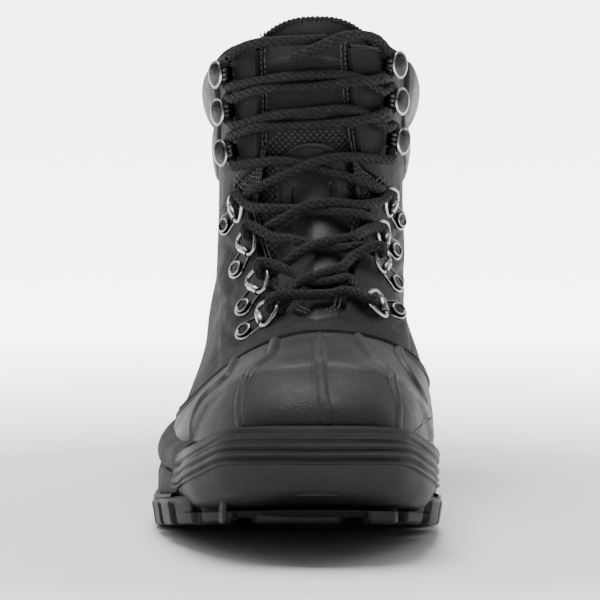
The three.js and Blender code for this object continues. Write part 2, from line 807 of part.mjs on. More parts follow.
// One hollow wall: leather over the shell's line, a thin foot wall under it, raised facings
function makeUpper() {
  const leather = grownLast(leatherOut);
  const front = intoBoot(facingEdge.map(fromMiddle), frontOfAll, facingBack);
  const facing = grownLast(facingOut).intersect(front);
  const aboveShell = leather.add(facing).subtract(belowShellLine);
  const throat = intoBoot([...throatOuter, ...throatInner].map(fromMiddle), frontOfAll, throatBack);
  const hollow = aboveShell.add(grownLast(footWall)).subtract(grownLast(0));
  return hollow.subtract(belowSeat).intersect(belowCollar).subtract(throat);
}

// Ribbed cloth in the notch of each facing, drawn in toward its middle to clear the leather
function makeFlexInsert(rows) {
  const corners = rows.map(fromMiddle);
  const middleOf = (k) => corners.reduce((sum, corner) => sum + corner[k], 0) / corners.length;
  const middle = [middleOf(0), middleOf(1)];
  const fitted = corners.map((corner) => corner.map((value, k) => mix(middle[k], value, 0.86)));
  const column = intoBoot(fitted, -20, facingBack);
  return column.intersect(grownLast(leatherOut - 2 * clearance)).subtract(grownLast(clearance));
}

// Padded tongue under the facings, puffed out in the throat
function makeTongue() {
  const reach = (row) => mix(23, 38, ease(6.5, 11, row));
  return patch(14, 8, function (p, q) {
    const across = 2 * q - 1;
    const crown = 19.7 - 0.75 * Math.abs(across) ** 2.4;
    const row = mix(6.2, crown, p);
    const fade = 1 - 0.75 * Math.abs(across) ** 3;
    const ends = Math.min(1, 6 * p + 0.3, 6 * (1 - p) + 0.35);
    const puff = tonguePuff * Math.max(0, 1 - (across / 0.5) ** 2) ** 1.5 * ends * ease(6.9, 7.6, row);
    const flat = -underFacing;
    return { row, at: 3 + across * reach(row), high: flat + puff, low: flat - tongueThickness * fade * ends };
  });
}

// Two soft rolls outside the shaft, from one facing round the back to the other
function makeCollarPad() {
  const seam = 0.4;
  const pad = patch(10, 14, function (p, q) {
    const at = mix(74, 286, q);
    const back = ease(90, 165, 180 - Math.abs(180 - at));
    const row = mix(mix(15.9, 18.35, p), mix(16.75, 19.1, p), back);
    const share = p < seam ? p / seam : (p - seam) / (1 - seam);
    const swell = (p < seam ? lowerPuff : upperPuff) * Math.sin(Math.PI * Math.min(1, share)) ** 0.7;
    const ends = Math.min(1, 5 * q + 0.25, 5 * (1 - q) + 0.25);
    return { row, at, low: 0.8, high: leatherOut + 0.9 + swell * ends };
  });
  return pad.subtract(grownLast(leatherOut + clearance));
}

// Metal fittings

// Moves a solid from its own axes onto the last: x runs toward `ahead`, z runs outward
function seated(solid, row, at, height, ahead) {
  const origin = overLast(row, at, height);
  const up = outward(row, at * degree);
  const x = ahead.clone().addScaledVector(up, -ahead.dot(up)).normalize();
  const y = up.clone().cross(x);
  const matrix = new THREE.Matrix4().makeBasis(x, y, up).setPosition(origin);
  return solid.transform(matrix.toArray());
}

// Corners of a circle or an oval
function disc(radius, sides, x = 0, y = 0, stretch = 1) {
  return Array.from({ length: sides }, function (_, k) {
    const turn = (2 * Math.PI * k) / sides;
    return [x + radius * Math.cos(turn), y + radius * stretch * Math.sin(turn)];
  });
}

const still = new THREE.Matrix4();

// Carries a side view [x, z] along y, over `width` round the middle
function alongY(width) {
  return new THREE.Matrix4().set(1, 0, 0, 0, 0, 0, -1, width / 2, 0, 1, 0, 0, 0, 0, 0, 1);
}

// Teardrop plate with its rivet and the barrel that the ring turns in
function makePlate() {
  const round = Array.from({ length: 9 }, (_, k) => (65 + (230 * k) / 8) * degree)
    .map((turn) => [4.6 * Math.cos(turn), 4.6 * Math.sin(turn)]);
  const corners = [...round, [hingeReach, -barrelWidth / 2], [hingeReach, barrelWidth / 2]];
  const plate = extruded(corners, plateThickness, still);
  const rivet = extruded(disc(rivetRadius, 8), plateThickness + 0.7, still);
  const pipe = (radius) =>
    extruded(disc(radius, 8, hingeReach, barrelRadius), barrelWidth, alongY(barrelWidth));
  const solid = wasm.Manifold.union([plate, rivet, pipe(barrelRadius)]);
  return solid.subtract(pipe(wireRadius + clearance));
}

// D-shaped wire ring, its straight side in the barrel
function makeRing() {
  const rise = 24 * degree;
  const straight = 0.34 * ringWidth;
  const bow = Array.from({ length: 8 }, (_, k) => (14 + (152 * k) / 7) * degree)
    .map((turn) => [ringReach * Math.sin(turn), (ringWidth / 2) * Math.cos(turn)]);
  const path = [[0, -straight], [0, straight], ...bow].map(function ([out, side]) {
    const x = hingeReach + out * Math.cos(rise);
    return new THREE.Vector3(x, side, barrelRadius + out * Math.sin(rise));
  });
  return hoop(path, wireRadius, 6, new THREE.Vector3(-Math.sin(rise), 0, Math.cos(rise)));
}

// A speed hook: foot plate, stem on the throat's side and an oval cover, open away from the throat
function makeHook() {
  const sheet = 0.8;
  const top = hookRise + sheet;
  const outerBend = [[4.4, 0], [5.6, 1.4], [5.9, top / 2], [5.4, top - 1.2], [4.3, top], [-1, top]];
  const innerBend = [[-1, top - sheet], [3.9, top - sheet], [4.7, top - 1.7], [5, top / 2], [4.7, 1.7]];
  const profile = [[-3.6, 0], ...outerBend, ...innerBend, [4, sheet], [-3.6, sheet]];
  const lifted = new THREE.Matrix4().makeTranslation(0, 0, top - sheet);
  const cover = extruded(disc(coverWidth / 2, 14, -0.2, 0, coverLength / coverWidth), sheet, lifted);
  return extruded(profile, hookWidth, alongY(hookWidth)).add(cover);
}

// The way a ring points: from its rivet to its middle
function ringTurn(place) {
  return overLast(place.ringRow, place.ringAt, 0).sub(overLast(place.rivetRow, place.rivetAt, 0));
}

// Lace

const onRoute = ([row, at, share]) => overLast(row, at, share * laceRadius);

function laceTube(route, steps) {
  return tube(route.map(onRoute), laceRadius, 8, steps);
}

// Materials and the boot

const finishes = {
  rubber: { color: 0x2b2c2e, roughness: 0.62, metalness: 0 },
  sidewall: { color: 0x26272a, roughness: 0.66, metalness: 0 },
  leather: { color: 0x2c2827, roughness: 0.7, metalness: 0 },
  padding: { color: 0x302e2e, roughness: 0.45, metalness: 0 },
  cloth: { color: 0x252323, roughness: 0.85, metalness: 0 },
  felt: { color: 0x35332f, roughness: 0.95, metalness: 0 },
  metal: { color: 0x6c6b6b, roughness: 0.32, metalness: 1 },
  cord: { color: 0x201d1d, roughness: 0.8, metalness: 0 },
};

const boot = new THREE.Group();

function addPiece(name, solid, finish) {
  const mesh = solid.getMesh();
  const geometry = new THREE.BufferGeometry();
  const positions = new Float32Array(mesh.numVert * 3);
  for (let i = 0; i < mesh.numVert; i += 1) {
    for (let k = 0; k < 3; k += 1) positions[3 * i + k] = mesh.vertProperties[mesh.numProp * i + k];
  }
  geometry.setAttribute("position", new THREE.BufferAttribute(positions, 3));
  geometry.setIndex(new THREE.BufferAttribute(mesh.triVerts, 1));
  geometry.computeVertexNormals();
  const piece = new THREE.Mesh(geometry, new THREE.MeshStandardMaterial(finishes[finish]));
  piece.name = name;
  boot.add(piece);
}

addPiece("outsole", makeOutsole(), "rubber");
addPiece("midsole", makeMidsole(), "sidewall");
addPiece("insole", makeInsole(), "felt");
addPiece("shell", makeShell(), "rubber");
addPiece("upper", makeUpper(), "leather");
addPiece("tongue", makeTongue(), "leather");
addPiece("collar_pad", makeCollarPad(), "padding");
addPiece("flex_insert_outer", makeFlexInsert(throatOuter.slice(4, 7)), "cloth");
addPiece("flex_insert_inner", makeFlexInsert(throatInner.slice(5, 8)), "cloth");

for (const place of ringPlaces) {
  const turn = ringTurn(place);
  const put = (solid) => seated(solid, place.rivetRow, place.rivetAt, fittingFoot, turn);
  addPiece(`ring_plate_${place.name}`, put(makePlate()), "metal");
  addPiece(`ring_${place.name}`, put(makeRing()), "metal");
}

for (const place of hookPlaces) {
  const toThroat = overLast(place.row, 0, 0).sub(overLast(place.row, place.at, 0));
  addPiece(`hook_${place.name}`, seated(makeHook(), place.row, place.at, fittingFoot, toThroat), "metal");
}

addPiece("lace_bar", laceTube(barPath, 3), "cord");
crossings.forEach(function ([over, beneath], i) {
  addPiece(`lace_crossing_${i + 1}`, laceTube(over, 6).add(laceTube(beneath, 6)), "cord");
});
addPiece("lace_end_outer", laceTube(looseEnds.outer, 5), "cord");
addPiece("lace_end_inner", laceTube(looseEnds.inner, 6), "cord");

export default boot;
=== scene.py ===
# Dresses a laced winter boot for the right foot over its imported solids.
# Shapes are worked out in millimetres and turned to metres when a mesh is made.
# The floor is z = 0, the toe points to -Y and the inner side of the foot is +X.
import math

import bpy
import numpy as np
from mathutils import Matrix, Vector
from mathutils.bvhtree import BVHTree


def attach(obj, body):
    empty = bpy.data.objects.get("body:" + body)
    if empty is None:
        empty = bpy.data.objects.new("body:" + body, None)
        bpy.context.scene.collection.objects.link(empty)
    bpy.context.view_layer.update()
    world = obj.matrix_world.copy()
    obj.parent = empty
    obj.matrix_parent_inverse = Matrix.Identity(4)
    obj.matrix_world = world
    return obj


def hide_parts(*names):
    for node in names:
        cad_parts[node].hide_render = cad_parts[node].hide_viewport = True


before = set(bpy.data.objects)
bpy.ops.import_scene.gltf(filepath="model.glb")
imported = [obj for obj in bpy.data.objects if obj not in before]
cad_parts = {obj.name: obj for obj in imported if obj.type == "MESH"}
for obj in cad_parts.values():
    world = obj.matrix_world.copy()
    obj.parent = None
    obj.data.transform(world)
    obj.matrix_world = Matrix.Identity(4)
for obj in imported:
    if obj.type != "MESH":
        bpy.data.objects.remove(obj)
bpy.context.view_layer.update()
print("frame loaded")


# Small maths

def mix(a, b, t):
    return a + (b - a) * t


def ease(a, b, x):
    t = np.clip((np.asarray(x, float) - a) / (b - a), 0, 1)
    return t * t * (3 - 2 * t)


def unit(v):
    return v / np.maximum(np.linalg.norm(v, axis=-1, keepdims=True), 1e-9)


# The last, as the solids use it
last = {
    "length": 305.0, "ball": 104.0, "shaft": 77.0, "instepRise": 106.0, "collarRise": 164.5,
    "ballSeat": 22.0, "heelSeat": 32.0, "toeLift": 13.0,
    # topY, topZ, backY, backZ, half width, 1 where it is a share of the shaft, widest,
    # midX, topX, inner corner, outer corner, base corner
    "sections": [
        (0.018, 0.133, 0.018, 0.096, 0.02, 0, 0.5, 0.08, 0.081, 2.2, 2.2, 2.2),
        (0.023, 0.23, 0.023, 0.026, 0.32, 0, 0.58, 0.075, 0.081, 2.4, 2.4, 2.6),
        (0.038, 0.3, 0.038, -0.02, 0.54, 0, 0.65, 0.069, 0.08, 2.6, 2.5, 3),
        (0.067, 0.369, 0.067, -0.047, 0.67, 0, 0.72, 0.063, 0.08, 2.7, 2.6, 3.5),
        (0.113, 0.436, 0.113, -0.069, 0.79, 0, 0.77, 0.053, 0.079, 2.7, 2.5, 4),
        (0.179, 0.495, 0.179, -0.069, 0.86, 0, 0.8, 0.04, 0.078, 2.6, 2.2, 4),
        (0.251, 0.55, 0.244, -0.07, 0.95, 0, 0.82, 0.02, 0.078, 2.4, 1.85, 4),
        (0.316, 0.63, 0.32, -0.065, 0.985, 0, 0.85, 0.007, 0.076, 2.45, 1.6, 4),
        (0.382, 0.731, 0.408, -0.06, 0.965, 0, 0.85, -0.007, 0.072, 2.45, 1.55, 4),
        (0.441, 0.834, 0.516, -0.061, 0.885, 0, 0.8, 0.006, 0.072, 2.35, 1.65, 4),
        (0.487, 0.928, 0.648, -0.059, 0.795, 0, 0.7, 0.025, 0.072, 2.2, 1.85, 3.6),
        (0.516, 1, 0.788, -0.061, 1.05, 1, 0.6, 0.038, 0.066, 2.2, 2.1, 3),
        (0.533, 1.138, 0.893, -0.046, 1.025, 1, 0.55, 0.05, 0.064, 2.3, 2.2, 2.8),
        (0.543, 1.253, 0.962, 0.037, 1.02, 1, 0.5, 0.06, 0.064, 2.3, 2.3, 2.5),
        (0.549, 1.353, 0.982, 0.222, 1.01, 1, 0.5, 0.062, 0.064, 2.3, 2.3, 2.3),
        (0.554, 1.472, 0.98, 0.481, 1, 1, 0.5, 0.063, 0.064, 2.3, 2.3, 2.2),
        (0.559, 1.641, 0.97, 0.778, 1, 1, 0.5, 0.063, 0.064, 2.3, 2.3, 2.2),
        (0.566, 1.828, 0.964, 1.138, 1.01, 1, 0.5, 0.063, 0.064, 2.3, 2.3, 2.2),
        (0.572, 2, 0.959, 1.655, 1.03, 1, 0.5, 0.063, 0.064, 2.3, 2.3, 2.2),
        (0.579, 2.19, 0.956, 1.9, 1.05, 1, 0.5, 0.063, 0.064, 2.3, 2.3, 2.2),
        (0.585, 2.38, 0.952, 2.14, 1.06, 1, 0.5, 0.063, 0.064, 2.3, 2.3, 2.2),
    ],
}


def seatHeight(y):
    along = np.asarray(y, float) / last["length"] + 0.5
    lift = np.maximum(0, (0.32 - along) / 0.32) ** 2
    return mix(last["ballSeat"], last["heelSeat"], ease(0.35, 0.85, along)) + last["toeLift"] * lift


def riseOf(share):
    over = (share - 1) * (last["collarRise"] - last["instepRise"])
    return share * last["instepRise"] if share <= 1 else last["instepRise"] + over


def placedSections():
    rows = []
    for topY, topZ, backY, backZ, half, ofShaft, widest, midX, topX, inner, outer, base in last["sections"]:
        yTop, yBack = (topY - 0.5) * last["length"], (backY - 0.5) * last["length"]
        width = last["shaft"] if ofShaft else last["ball"]
        rows.append([
            yTop, yBack, seatHeight(yTop) + riseOf(topZ), seatHeight(yBack) + riseOf(backZ),
            half * width / 2, widest, midX * last["ball"], topX * last["ball"], inner, outer, base,
        ])
    return np.array(rows, float)


sections = placedSections()
lastRow = len(sections) - 1


def curve(before, start, end, after, t):
    bend = 2 * before - 5 * start + 4 * end - after + t * (3 * (start - end) + after - before)
    return start + 0.5 * t * (end - before + t * bend)


def sectionAt(row):
    at = np.clip(row, 0, lastRow)
    i = np.minimum(np.floor(at).astype(int), lastRow - 1)
    start, end = sections[i], sections[i + 1]
    before = np.where((i > 0)[..., None], sections[np.maximum(i - 1, 0)], 2 * start - end)
    after = np.where((i + 2 <= lastRow)[..., None], sections[np.minimum(i + 2, lastRow)], 2 * end - start)
    return curve(before, start, end, after, (at - i)[..., None])


def bareLast(row, angle):
    row, angle = np.broadcast_arrays(np.asarray(row, float), np.asarray(angle, float))
    values = np.moveaxis(sectionAt(row), -1, 0)
    topY, backY, topZ, backZ, half, widest, midX, topX, inner, outer, base = values
    side = np.where(np.sin(angle) >= 0, 1.0, -1.0)
    a = np.abs(np.arctan2(np.sin(angle), np.cos(angle)))
    above = a <= math.pi / 2
    power = 2 / np.where(above, np.where(side > 0, inner, outer), base)
    fall, reach = np.abs(np.cos(a)) ** power, np.abs(np.sin(a)) ** power
    down = np.where(above, widest * (1 - fall), widest + (1 - widest) * fall)
    x = mix(topX, midX, np.minimum(1, down / widest)) + side * half * reach
    return np.stack([x, mix(topY, backY, down), mix(topZ, backZ, down)], -1)


def outward(row, at):
    angle, step = np.radians(at), 0.02
    rows = np.asarray(row, float)
    ahead, behind = np.minimum(rows + step, lastRow), np.maximum(rows - step, 0)
    alongRows = bareLast(ahead, angle) - bareLast(behind, angle)
    acrossRow = bareLast(rows, angle + step) - bareLast(rows, angle - step)
    return unit(np.cross(acrossRow, alongRows))


def onLast(row, at, height):
    row, at, height = np.broadcast_arrays(*(np.asarray(v, float) for v in (row, at, height)))
    return bareLast(row, np.radians(at)) + outward(row, at) * height[..., None]


# Heights of the layers over the last, as the solids have them
layer = {
    "leather": 2.8, "facing": 3.4, "shell": 3.4, "rand": 7.3,
    "fittings": 3.91, "laceRadius": 2.15, "insole": 4.0, "tongueTop": -1.3,
}


# Camera at the photograph's angle
view = {"target": (1.56, 0.0, 89.84), "elevation": 5.5, "distance": 1500.0, "focalPx": 3513.7, "photo": 600}


def makeCamera():
    tip = math.radians(view["elevation"])
    back = Vector((0, -math.cos(tip), math.sin(tip)))
    data = bpy.data.cameras.new("camera")
    data.sensor_width = 36
    data.lens = 36 * view["focalPx"] / view["photo"]
    data.clip_start, data.clip_end = 0.1, 400
    camera = bpy.data.objects.new("camera", data)
    camera.location = (Vector(view["target"]) + back * view["distance"]) / 1000
    camera.rotation_mode = "QUATERNION"
    camera.rotation_quaternion = (-back).to_track_quat("-Z", "Y")
    bpy.context.scene.collection.objects.link(camera)
    bpy.context.scene.camera = camera


makeCamera()
cameraTip = math.radians(view["elevation"])
cameraAhead = np.array([0, math.cos(cameraTip), -math.sin(cameraTip)])
cameraUp = np.array([0, math.sin(cameraTip), math.cos(cameraTip)])
cameraPlace = np.array(view["target"]) - cameraAhead * view["distance"]


def pixelRay(px, py):
    middle = view["photo"] / 2
    right = np.array([1.0, 0, 0]) * (px - middle) / view["focalPx"]
    return unit(cameraAhead + right - cameraUp * (py - middle) / view["focalPx"])


def inPhoto(points):
    away = points - cameraPlace
    depth = away @ cameraAhead
    scale = view["focalPx"] / depth
    middle = view["photo"] / 2
    return middle + away[..., 0] * scale, middle - (away @ cameraUp) * scale


# Meshes

def gridFaces(rows, columns, closed=False):
    i, k = np.meshgrid(np.arange(rows - 1), np.arange(columns if closed else columns - 1), indexing="ij")
    a = i * columns + k
    b = i * columns + (k + 1) % columns
    return np.stack([a, b, b + columns, a + columns], -1).reshape(-1, 4)


def meshPiece(name, points, faces, material, uv=None, smooth=True):
    mesh = bpy.data.meshes.new(name)
    mesh.from_pydata((np.asarray(points).reshape(-1, 3) / 1000).tolist(), [], np.asarray(faces).tolist())
    if smooth:
        mesh.shade_smooth()
    if uv is not None:
        loops = np.zeros(len(mesh.loops), int)
        mesh.loops.foreach_get("vertex_index", loops)
        corners = np.asarray(uv, np.float32).reshape(-1, 2)[loops]
        mesh.uv_layers.new(name="length").data.foreach_set("uv", corners.ravel())
    for one in material if isinstance(material, (list, tuple)) else [material]:
        mesh.materials.append(one)
    piece = bpy.data.objects.new(name, mesh)
    bpy.context.scene.collection.objects.link(piece)
    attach(piece, "root")
    return piece


def rimmed(row, at, height, base, rims="tblr", soft=(0.8, 0.25)):
    # Rounds the rims of a sheet on the last and turns them down to the height `base`
    row, at, height = (np.array(v, float) for v in np.broadcast_arrays(row, at, height))
    base = np.broadcast_to(np.asarray(base, float), height.shape).copy()
    for step, drop in enumerate(soft):
        for rim in rims:
            index = step if rim in "tl" else -1 - step
            if rim in "tb":
                height[index, :] -= drop
            else:
                height[:, index] -= drop
    pads = [(int("t" in rims), int("b" in rims)), (int("l" in rims), int("r" in rims))]
    row, at, base = (np.pad(v, pads, mode="edge") for v in (row, at, base))
    inner = np.pad(np.ones_like(height, bool), pads)
    height = np.where(inner, np.pad(height, pads), base)
    return onLast(row, at, height)


def tubeMesh(path, radius, sides, ripple=None, closed=False):
    # Rings round a path, with its arc length; `ripple` changes the radius by arc and turn
    path = np.asarray(path, float)
    ahead = np.roll(path, -1, 0) - np.roll(path, 1, 0)
    if not closed:
        ahead[0], ahead[-1] = path[1] - path[0], path[-1] - path[-2]
    ahead = unit(ahead)
    arc = np.concatenate([[0], np.cumsum(np.linalg.norm(np.diff(path, axis=0), axis=1))])
    side = unit(np.cross(ahead[0], [0.3, 0.2, 1.0]))
    sidesAlong = []
    for direction in ahead:
        side = unit(side - direction * (side @ direction))
        sidesAlong.append(side)
    sidesAlong = np.array(sidesAlong)
    ups = np.cross(ahead, sidesAlong)
    turn = np.linspace(0, 2 * math.pi, sides, endpoint=False)
    size = np.broadcast_to(np.asarray(radius, float).reshape(-1, 1), (len(path), sides))
    if ripple is not None:
        size = size + ripple(arc[:, None], turn[None, :])
    points = path[:, None] + size[..., None] * (
        np.cos(turn)[None, :, None] * sidesAlong[:, None] + np.sin(turn)[None, :, None] * ups[:, None])
    faces = gridFaces(len(path), sides, closed=True)
    uv = np.stack(np.broadcast_arrays(arc[:, None] / 1000, turn[None, :] / (2 * math.pi)), -1)
    if closed:
        join = (len(path) - 1) * sides
        k = np.arange(sides)
        faces = np.concatenate([faces, np.stack([join + k, join + (k + 1) % sides, (k + 1) % sides, k], -1)])
    return points.reshape(-1, 3), faces, uv.reshape(-1, 2)


def joined(parts):
    # One list of points and faces from several
    points, faces, start = [], [], 0
    for part in parts:
        these = np.asarray(part[0]).reshape(-1, 3)
        points.append(these)
        faces += [[start + k for k in face] for face in np.asarray(part[1]).tolist()]
        start += len(these)
    return np.concatenate(points), faces


def smoothPath(path, step):
    # A smooth curve through the points, cut into even steps
    path = np.asarray(path, float)
    gaps = np.maximum(np.linalg.norm(np.diff(path, axis=0), axis=1), 1e-6) ** 0.5
    knots = np.concatenate([[0], np.cumsum(gaps)])
    slopes = np.gradient(path, knots, axis=0)
    t = np.linspace(0, knots[-1], 24 * len(path))
    i = np.clip(np.searchsorted(knots, t, side="right") - 1, 0, len(path) - 2)
    gap = (knots[i + 1] - knots[i])[:, None]
    u = (t - knots[i])[:, None] / gap
    start, end = path[i], path[i + 1]
    leave, arrive = slopes[i] * gap, slopes[i + 1] * gap
    fine = (2 * u**3 - 3 * u**2 + 1) * start + (u**3 - 2 * u**2 + u) * leave
    return evenly(fine + (3 * u**2 - 2 * u**3) * end + (u**3 - u**2) * arrive, step)


def evenly(path, step):
    arc = np.concatenate([[0], np.cumsum(np.linalg.norm(np.diff(path, axis=0), axis=1))])
    stops = np.linspace(0, arc[-1], max(3, int(round(arc[-1] / step)) + 1))
    return np.stack([np.interp(stops, arc, path[:, k]) for k in range(path.shape[1])], -1)


def smoothOnLast(pairs, step):
    # The same for rows and degrees on the last, with about even steps in millimetres
    scale = np.array([9.0, 0.65])
    return smoothPath(np.asarray(pairs, float) * scale, step) / scale


def nearPath(points, path):
    # How far each point is from a line of points, and how far along that line
    shape = points.shape[:-1]
    points = points.reshape(-1, 3)
    best, where, arc = np.full(len(points), 1e9), np.zeros(len(points)), 0.0
    for start, end in zip(path[:-1], path[1:]):
        along, length = end - start, np.linalg.norm(end - start)
        t = np.clip((points - start) @ along / max(length**2, 1e-9), 0, 1)
        gap = np.linalg.norm(points - start - t[:, None] * along, axis=1)
        closer = gap < best
        best, where = np.where(closer, gap, best), np.where(closer, arc + t * length, where)
        arc += length
    return best.reshape(shape), where.reshape(shape) / max(arc, 1e-9)


# Points of the photograph or of a front view, put on the last

skins = {}


def skin(height):
    if height not in skins:
        rows, ats = np.linspace(0, lastRow, 241), np.linspace(-180, 180, 181)
        points = onLast(rows[:, None], ats[None, :], height)
        tree = BVHTree.FromPolygons(points.reshape(-1, 3).tolist(), gridFaces(241, 181).tolist())
        skins[height] = (rows, ats, points, tree)
    return skins[height]


def landing(origin, ahead, height):
    rows, ats, points, tree = skin(height)
    place, _, face, _ = tree.ray_cast(Vector(origin), Vector(ahead))
    if place is None:
        return None
    i, k = divmod(face, len(ats) - 1)
    edges = np.stack([points[i + 1, k] - points[i, k], points[i, k + 1] - points[i, k]], -1)
    share = np.clip(np.linalg.lstsq(edges, np.array(place) - points[i, k], rcond=None)[0], 0, 1)
    return mix(rows[i], rows[i + 1], share[0]), mix(ats[k], ats[k + 1], share[1])


def fromPhoto(pixels, height):
    hits = [landing(cameraPlace, pixelRay(px, py), height) for px, py in pixels]
    return [hit for hit in hits if hit is not None]


# Materials

def linear(hexColour):
    parts = [int(hexColour[i:i + 2], 16) / 255 for i in (1, 3, 5)]
    return [v / 12.92 if v <= 0.04045 else ((v + 0.055) / 1.055) ** 2.4 for v in parts] + [1.0]


def addNode(material, kind, settings=None, links=None):
    node = material.node_tree.nodes.new(kind)
    for name, value in (settings or {}).items():
        if isinstance(name, int) or name in node.inputs:
            node.inputs[name].default_value = value
        else:
            setattr(node, name, value)
    for name, source in (links or {}).items():
        material.node_tree.links.new(source, node.inputs[name])
    return node


def newMaterial(name, colour, roughness, **sockets):
    material = bpy.data.materials.new(name)
    material.use_nodes = True
    shader = material.node_tree.nodes["Principled BSDF"]
    shader.inputs["Base Color"].default_value = linear(colour)
    shader.inputs["Roughness"].default_value = roughness
    for socket, value in sockets.items():
        shader.inputs[socket.replace("_", " ")].default_value = value
    return material, shader


def place(material):
    return addNode(material, "ShaderNodeTexCoord").outputs["Object"]


def noiseAt(material, sizeMm, detail=3.0, rough=0.55):
    # Noise whose bumps are about this many millimetres across
    settings = {"Scale": 1000 / sizeMm, "Detail": detail, "Roughness": rough}
    return addNode(material, "ShaderNodeTexNoise", settings, {"Vector": place(material)}).outputs["Fac"]


def tint(material, shader, factor, colours, spread=(0.35, 0.65)):
    # Runs the base colour from one hex value to another along a factor
    ramp = addNode(material, "ShaderNodeValToRGB", None, {"Fac": factor})
    ramp.color_ramp.elements[0].position, ramp.color_ramp.elements[1].position = spread
    ramp.color_ramp.elements[0].color, ramp.color_ramp.elements[1].color = map(linear, colours)
    material.node_tree.links.new(ramp.outputs["Color"], shader.inputs["Base Color"])
    return ramp.outputs["Color"]


def bump(material, shader, heights):
    # Several bumps one on the other: (factor, depth in millimetres)
    normal = None
    for factor, depth in heights:
        links = {"Height": factor} if normal is None else {"Height": factor, "Normal": normal}
        settings = {"Strength": 1.0, "Distance": depth / 1000}
        normal = addNode(material, "ShaderNodeBump", settings, links).outputs["Normal"]
    material.node_tree.links.new(normal, shader.inputs["Normal"])


def vary(material, shader, factor, low, high):
    settings = {"From Min": 0.3, "From Max": 0.7, "To Min": low, "To Max": high}
    span = addNode(material, "ShaderNodeMapRange", settings, {"Value": factor})
    material.node_tree.links.new(span.outputs["Result"], shader.inputs["Roughness"])


def grain(material, sizeMm):
    # Cells of a pebbled skin
    cells = addNode(material, "ShaderNodeTexVoronoi", {"Scale": 1000 / sizeMm, "Randomness": 1.0},
                    {"Vector": place(material)})
    return cells.outputs["Distance"]


def makeNubuck():
    # Nubuck leather, sanded and waxed: a fine dull nap with cloudy patches, a little warmer where rubbed
    material, shader = newMaterial("nubuckLeatherSanded", "#171515", 0.74, Sheen_Weight=0.03,
                                   Sheen_Roughness=0.4)
    shader.inputs["Specular IOR Level"].default_value = 0.12
    clouds = noiseAt(material, 26, 4)
    tint(material, shader, clouds, ("#151312", "#22201f"))
    vary(material, shader, noiseAt(material, 9), 0.62, 0.8)
    bump(material, shader, [(noiseAt(material, 1.1, 4, 0.7), 0.22), (noiseAt(material, 6, 3), 0.35)])
    return material


def makeSmoothLeather(name, colours, roughness, wrinkle, shine):
    # Drum-dyed cowhide with a coat: small pebbled grain and a soft shine on its puffs
    material, shader = newMaterial(name, colours[0], roughness, Coat_Weight=shine * 0.2, Coat_Roughness=0.35)
    shader.inputs["Specular IOR Level"].default_value = shine
    tint(material, shader, noiseAt(material, 18), colours)
    vary(material, shader, noiseAt(material, 7), roughness - 0.07, roughness + 0.08)
    bump(material, shader, [(grain(material, 1.3), 0.16), (noiseAt(material, 5, 4), wrinkle)])
    return material


def makeRubber(name, colours, roughness, shine, pebble=0.0):
    # Vulcanised rubber from a sandblasted mould: satin, faintly dusty, with an even fine skin
    material, shader = newMaterial(name, colours[0], roughness, Specular_IOR_Level=shine)
    tint(material, shader, noiseAt(material, 30, 5), colours)
    vary(material, shader, noiseAt(material, 12, 4), roughness - 0.06, roughness + 0.08)
    heights = [(noiseAt(material, 0.9, 2), 0.07), (noiseAt(material, 14, 2), 0.25)]
    if pebble:
        heights.append((grain(material, 1.0), pebble))
    bump(material, shader, heights)
    return material


def makeCloth(name, colours, threadMm, roughness=0.85, depth=0.25, ribs=None, turned=0.0):
    # Woven nylon: threads over and under, drawn no finer than shows in the picture
    material, shader = newMaterial(name, colours[0], roughness, Sheen_Weight=0.05, Specular_IOR_Level=0.2)
    bands = []
    where = {"Vector": place(material)}
    spot = addNode(material, "ShaderNodeMapping", {"Rotation": (0, turned, 0)}, where).outputs[0]
    for axis in ("X", "Z"):
        wave = addNode(material, "ShaderNodeTexWave", {
            "wave_type": "BANDS", "bands_direction": axis, "Scale": 1000 * 2 * math.pi / (threadMm * 20),
            "Distortion": 0.6, "Detail": 1.0, "Detail Scale": 3.0}, {"Vector": spot})
        bands.append(wave.outputs["Fac"])
    both = addNode(material, "ShaderNodeMath", {"operation": "MULTIPLY"}, {0: bands[0], 1: bands[1]})
    weave = bands[0] if ribs else both.outputs[0]
    tint(material, shader, weave, colours, (0.1, 0.8))
    bump(material, shader, [(weave, depth), (noiseAt(material, 2.2), 0.15)])
    return material


def makeBraid():
    # Round braided polyester: dark yarn with paler flecks where the strands turn up
    material, shader = newMaterial("braidedPolyester", "#0d0c0c", 0.75, Specular_IOR_Level=0.22)
    crest = addNode(material, "ShaderNodeAttribute", {"attribute_name": "crest"}).outputs["Fac"]
    links = {0: crest, 1: noiseAt(material, 1.2, 2)}
    both = addNode(material, "ShaderNodeMath", {"operation": "MULTIPLY"}, links)
    tint(material, shader, both.outputs[0], ("#080707", "#2c2827"), (0.3, 0.62))
    bump(material, shader, [(noiseAt(material, 0.6, 2), 0.12)])
    return material


def makeGunmetal(name, colours):
    # Steel under black nickel plate, tumbled: dark, and bright on the rims where the plate is rubbed
    material, shader = newMaterial(name, colours[0], 0.3, Metallic=1.0)
    tint(material, shader, noiseAt(material, 5, 3), colours)
    vary(material, shader, noiseAt(material, 2.5), 0.22, 0.4)
    bump(material, shader, [(noiseAt(material, 1.5, 3), 0.03)])
    return material


def makeThread(name, colour):
    # Bonded nylon thread: close to the leather's colour, with a slight gloss
    material, shader = newMaterial(name, colour, 0.55, Sheen_Weight=0.1)
    tint(material, shader, noiseAt(material, 1.2), (colour, "#262322"))
    bump(material, shader, [(noiseAt(material, 0.5), 0.06)])
    return material


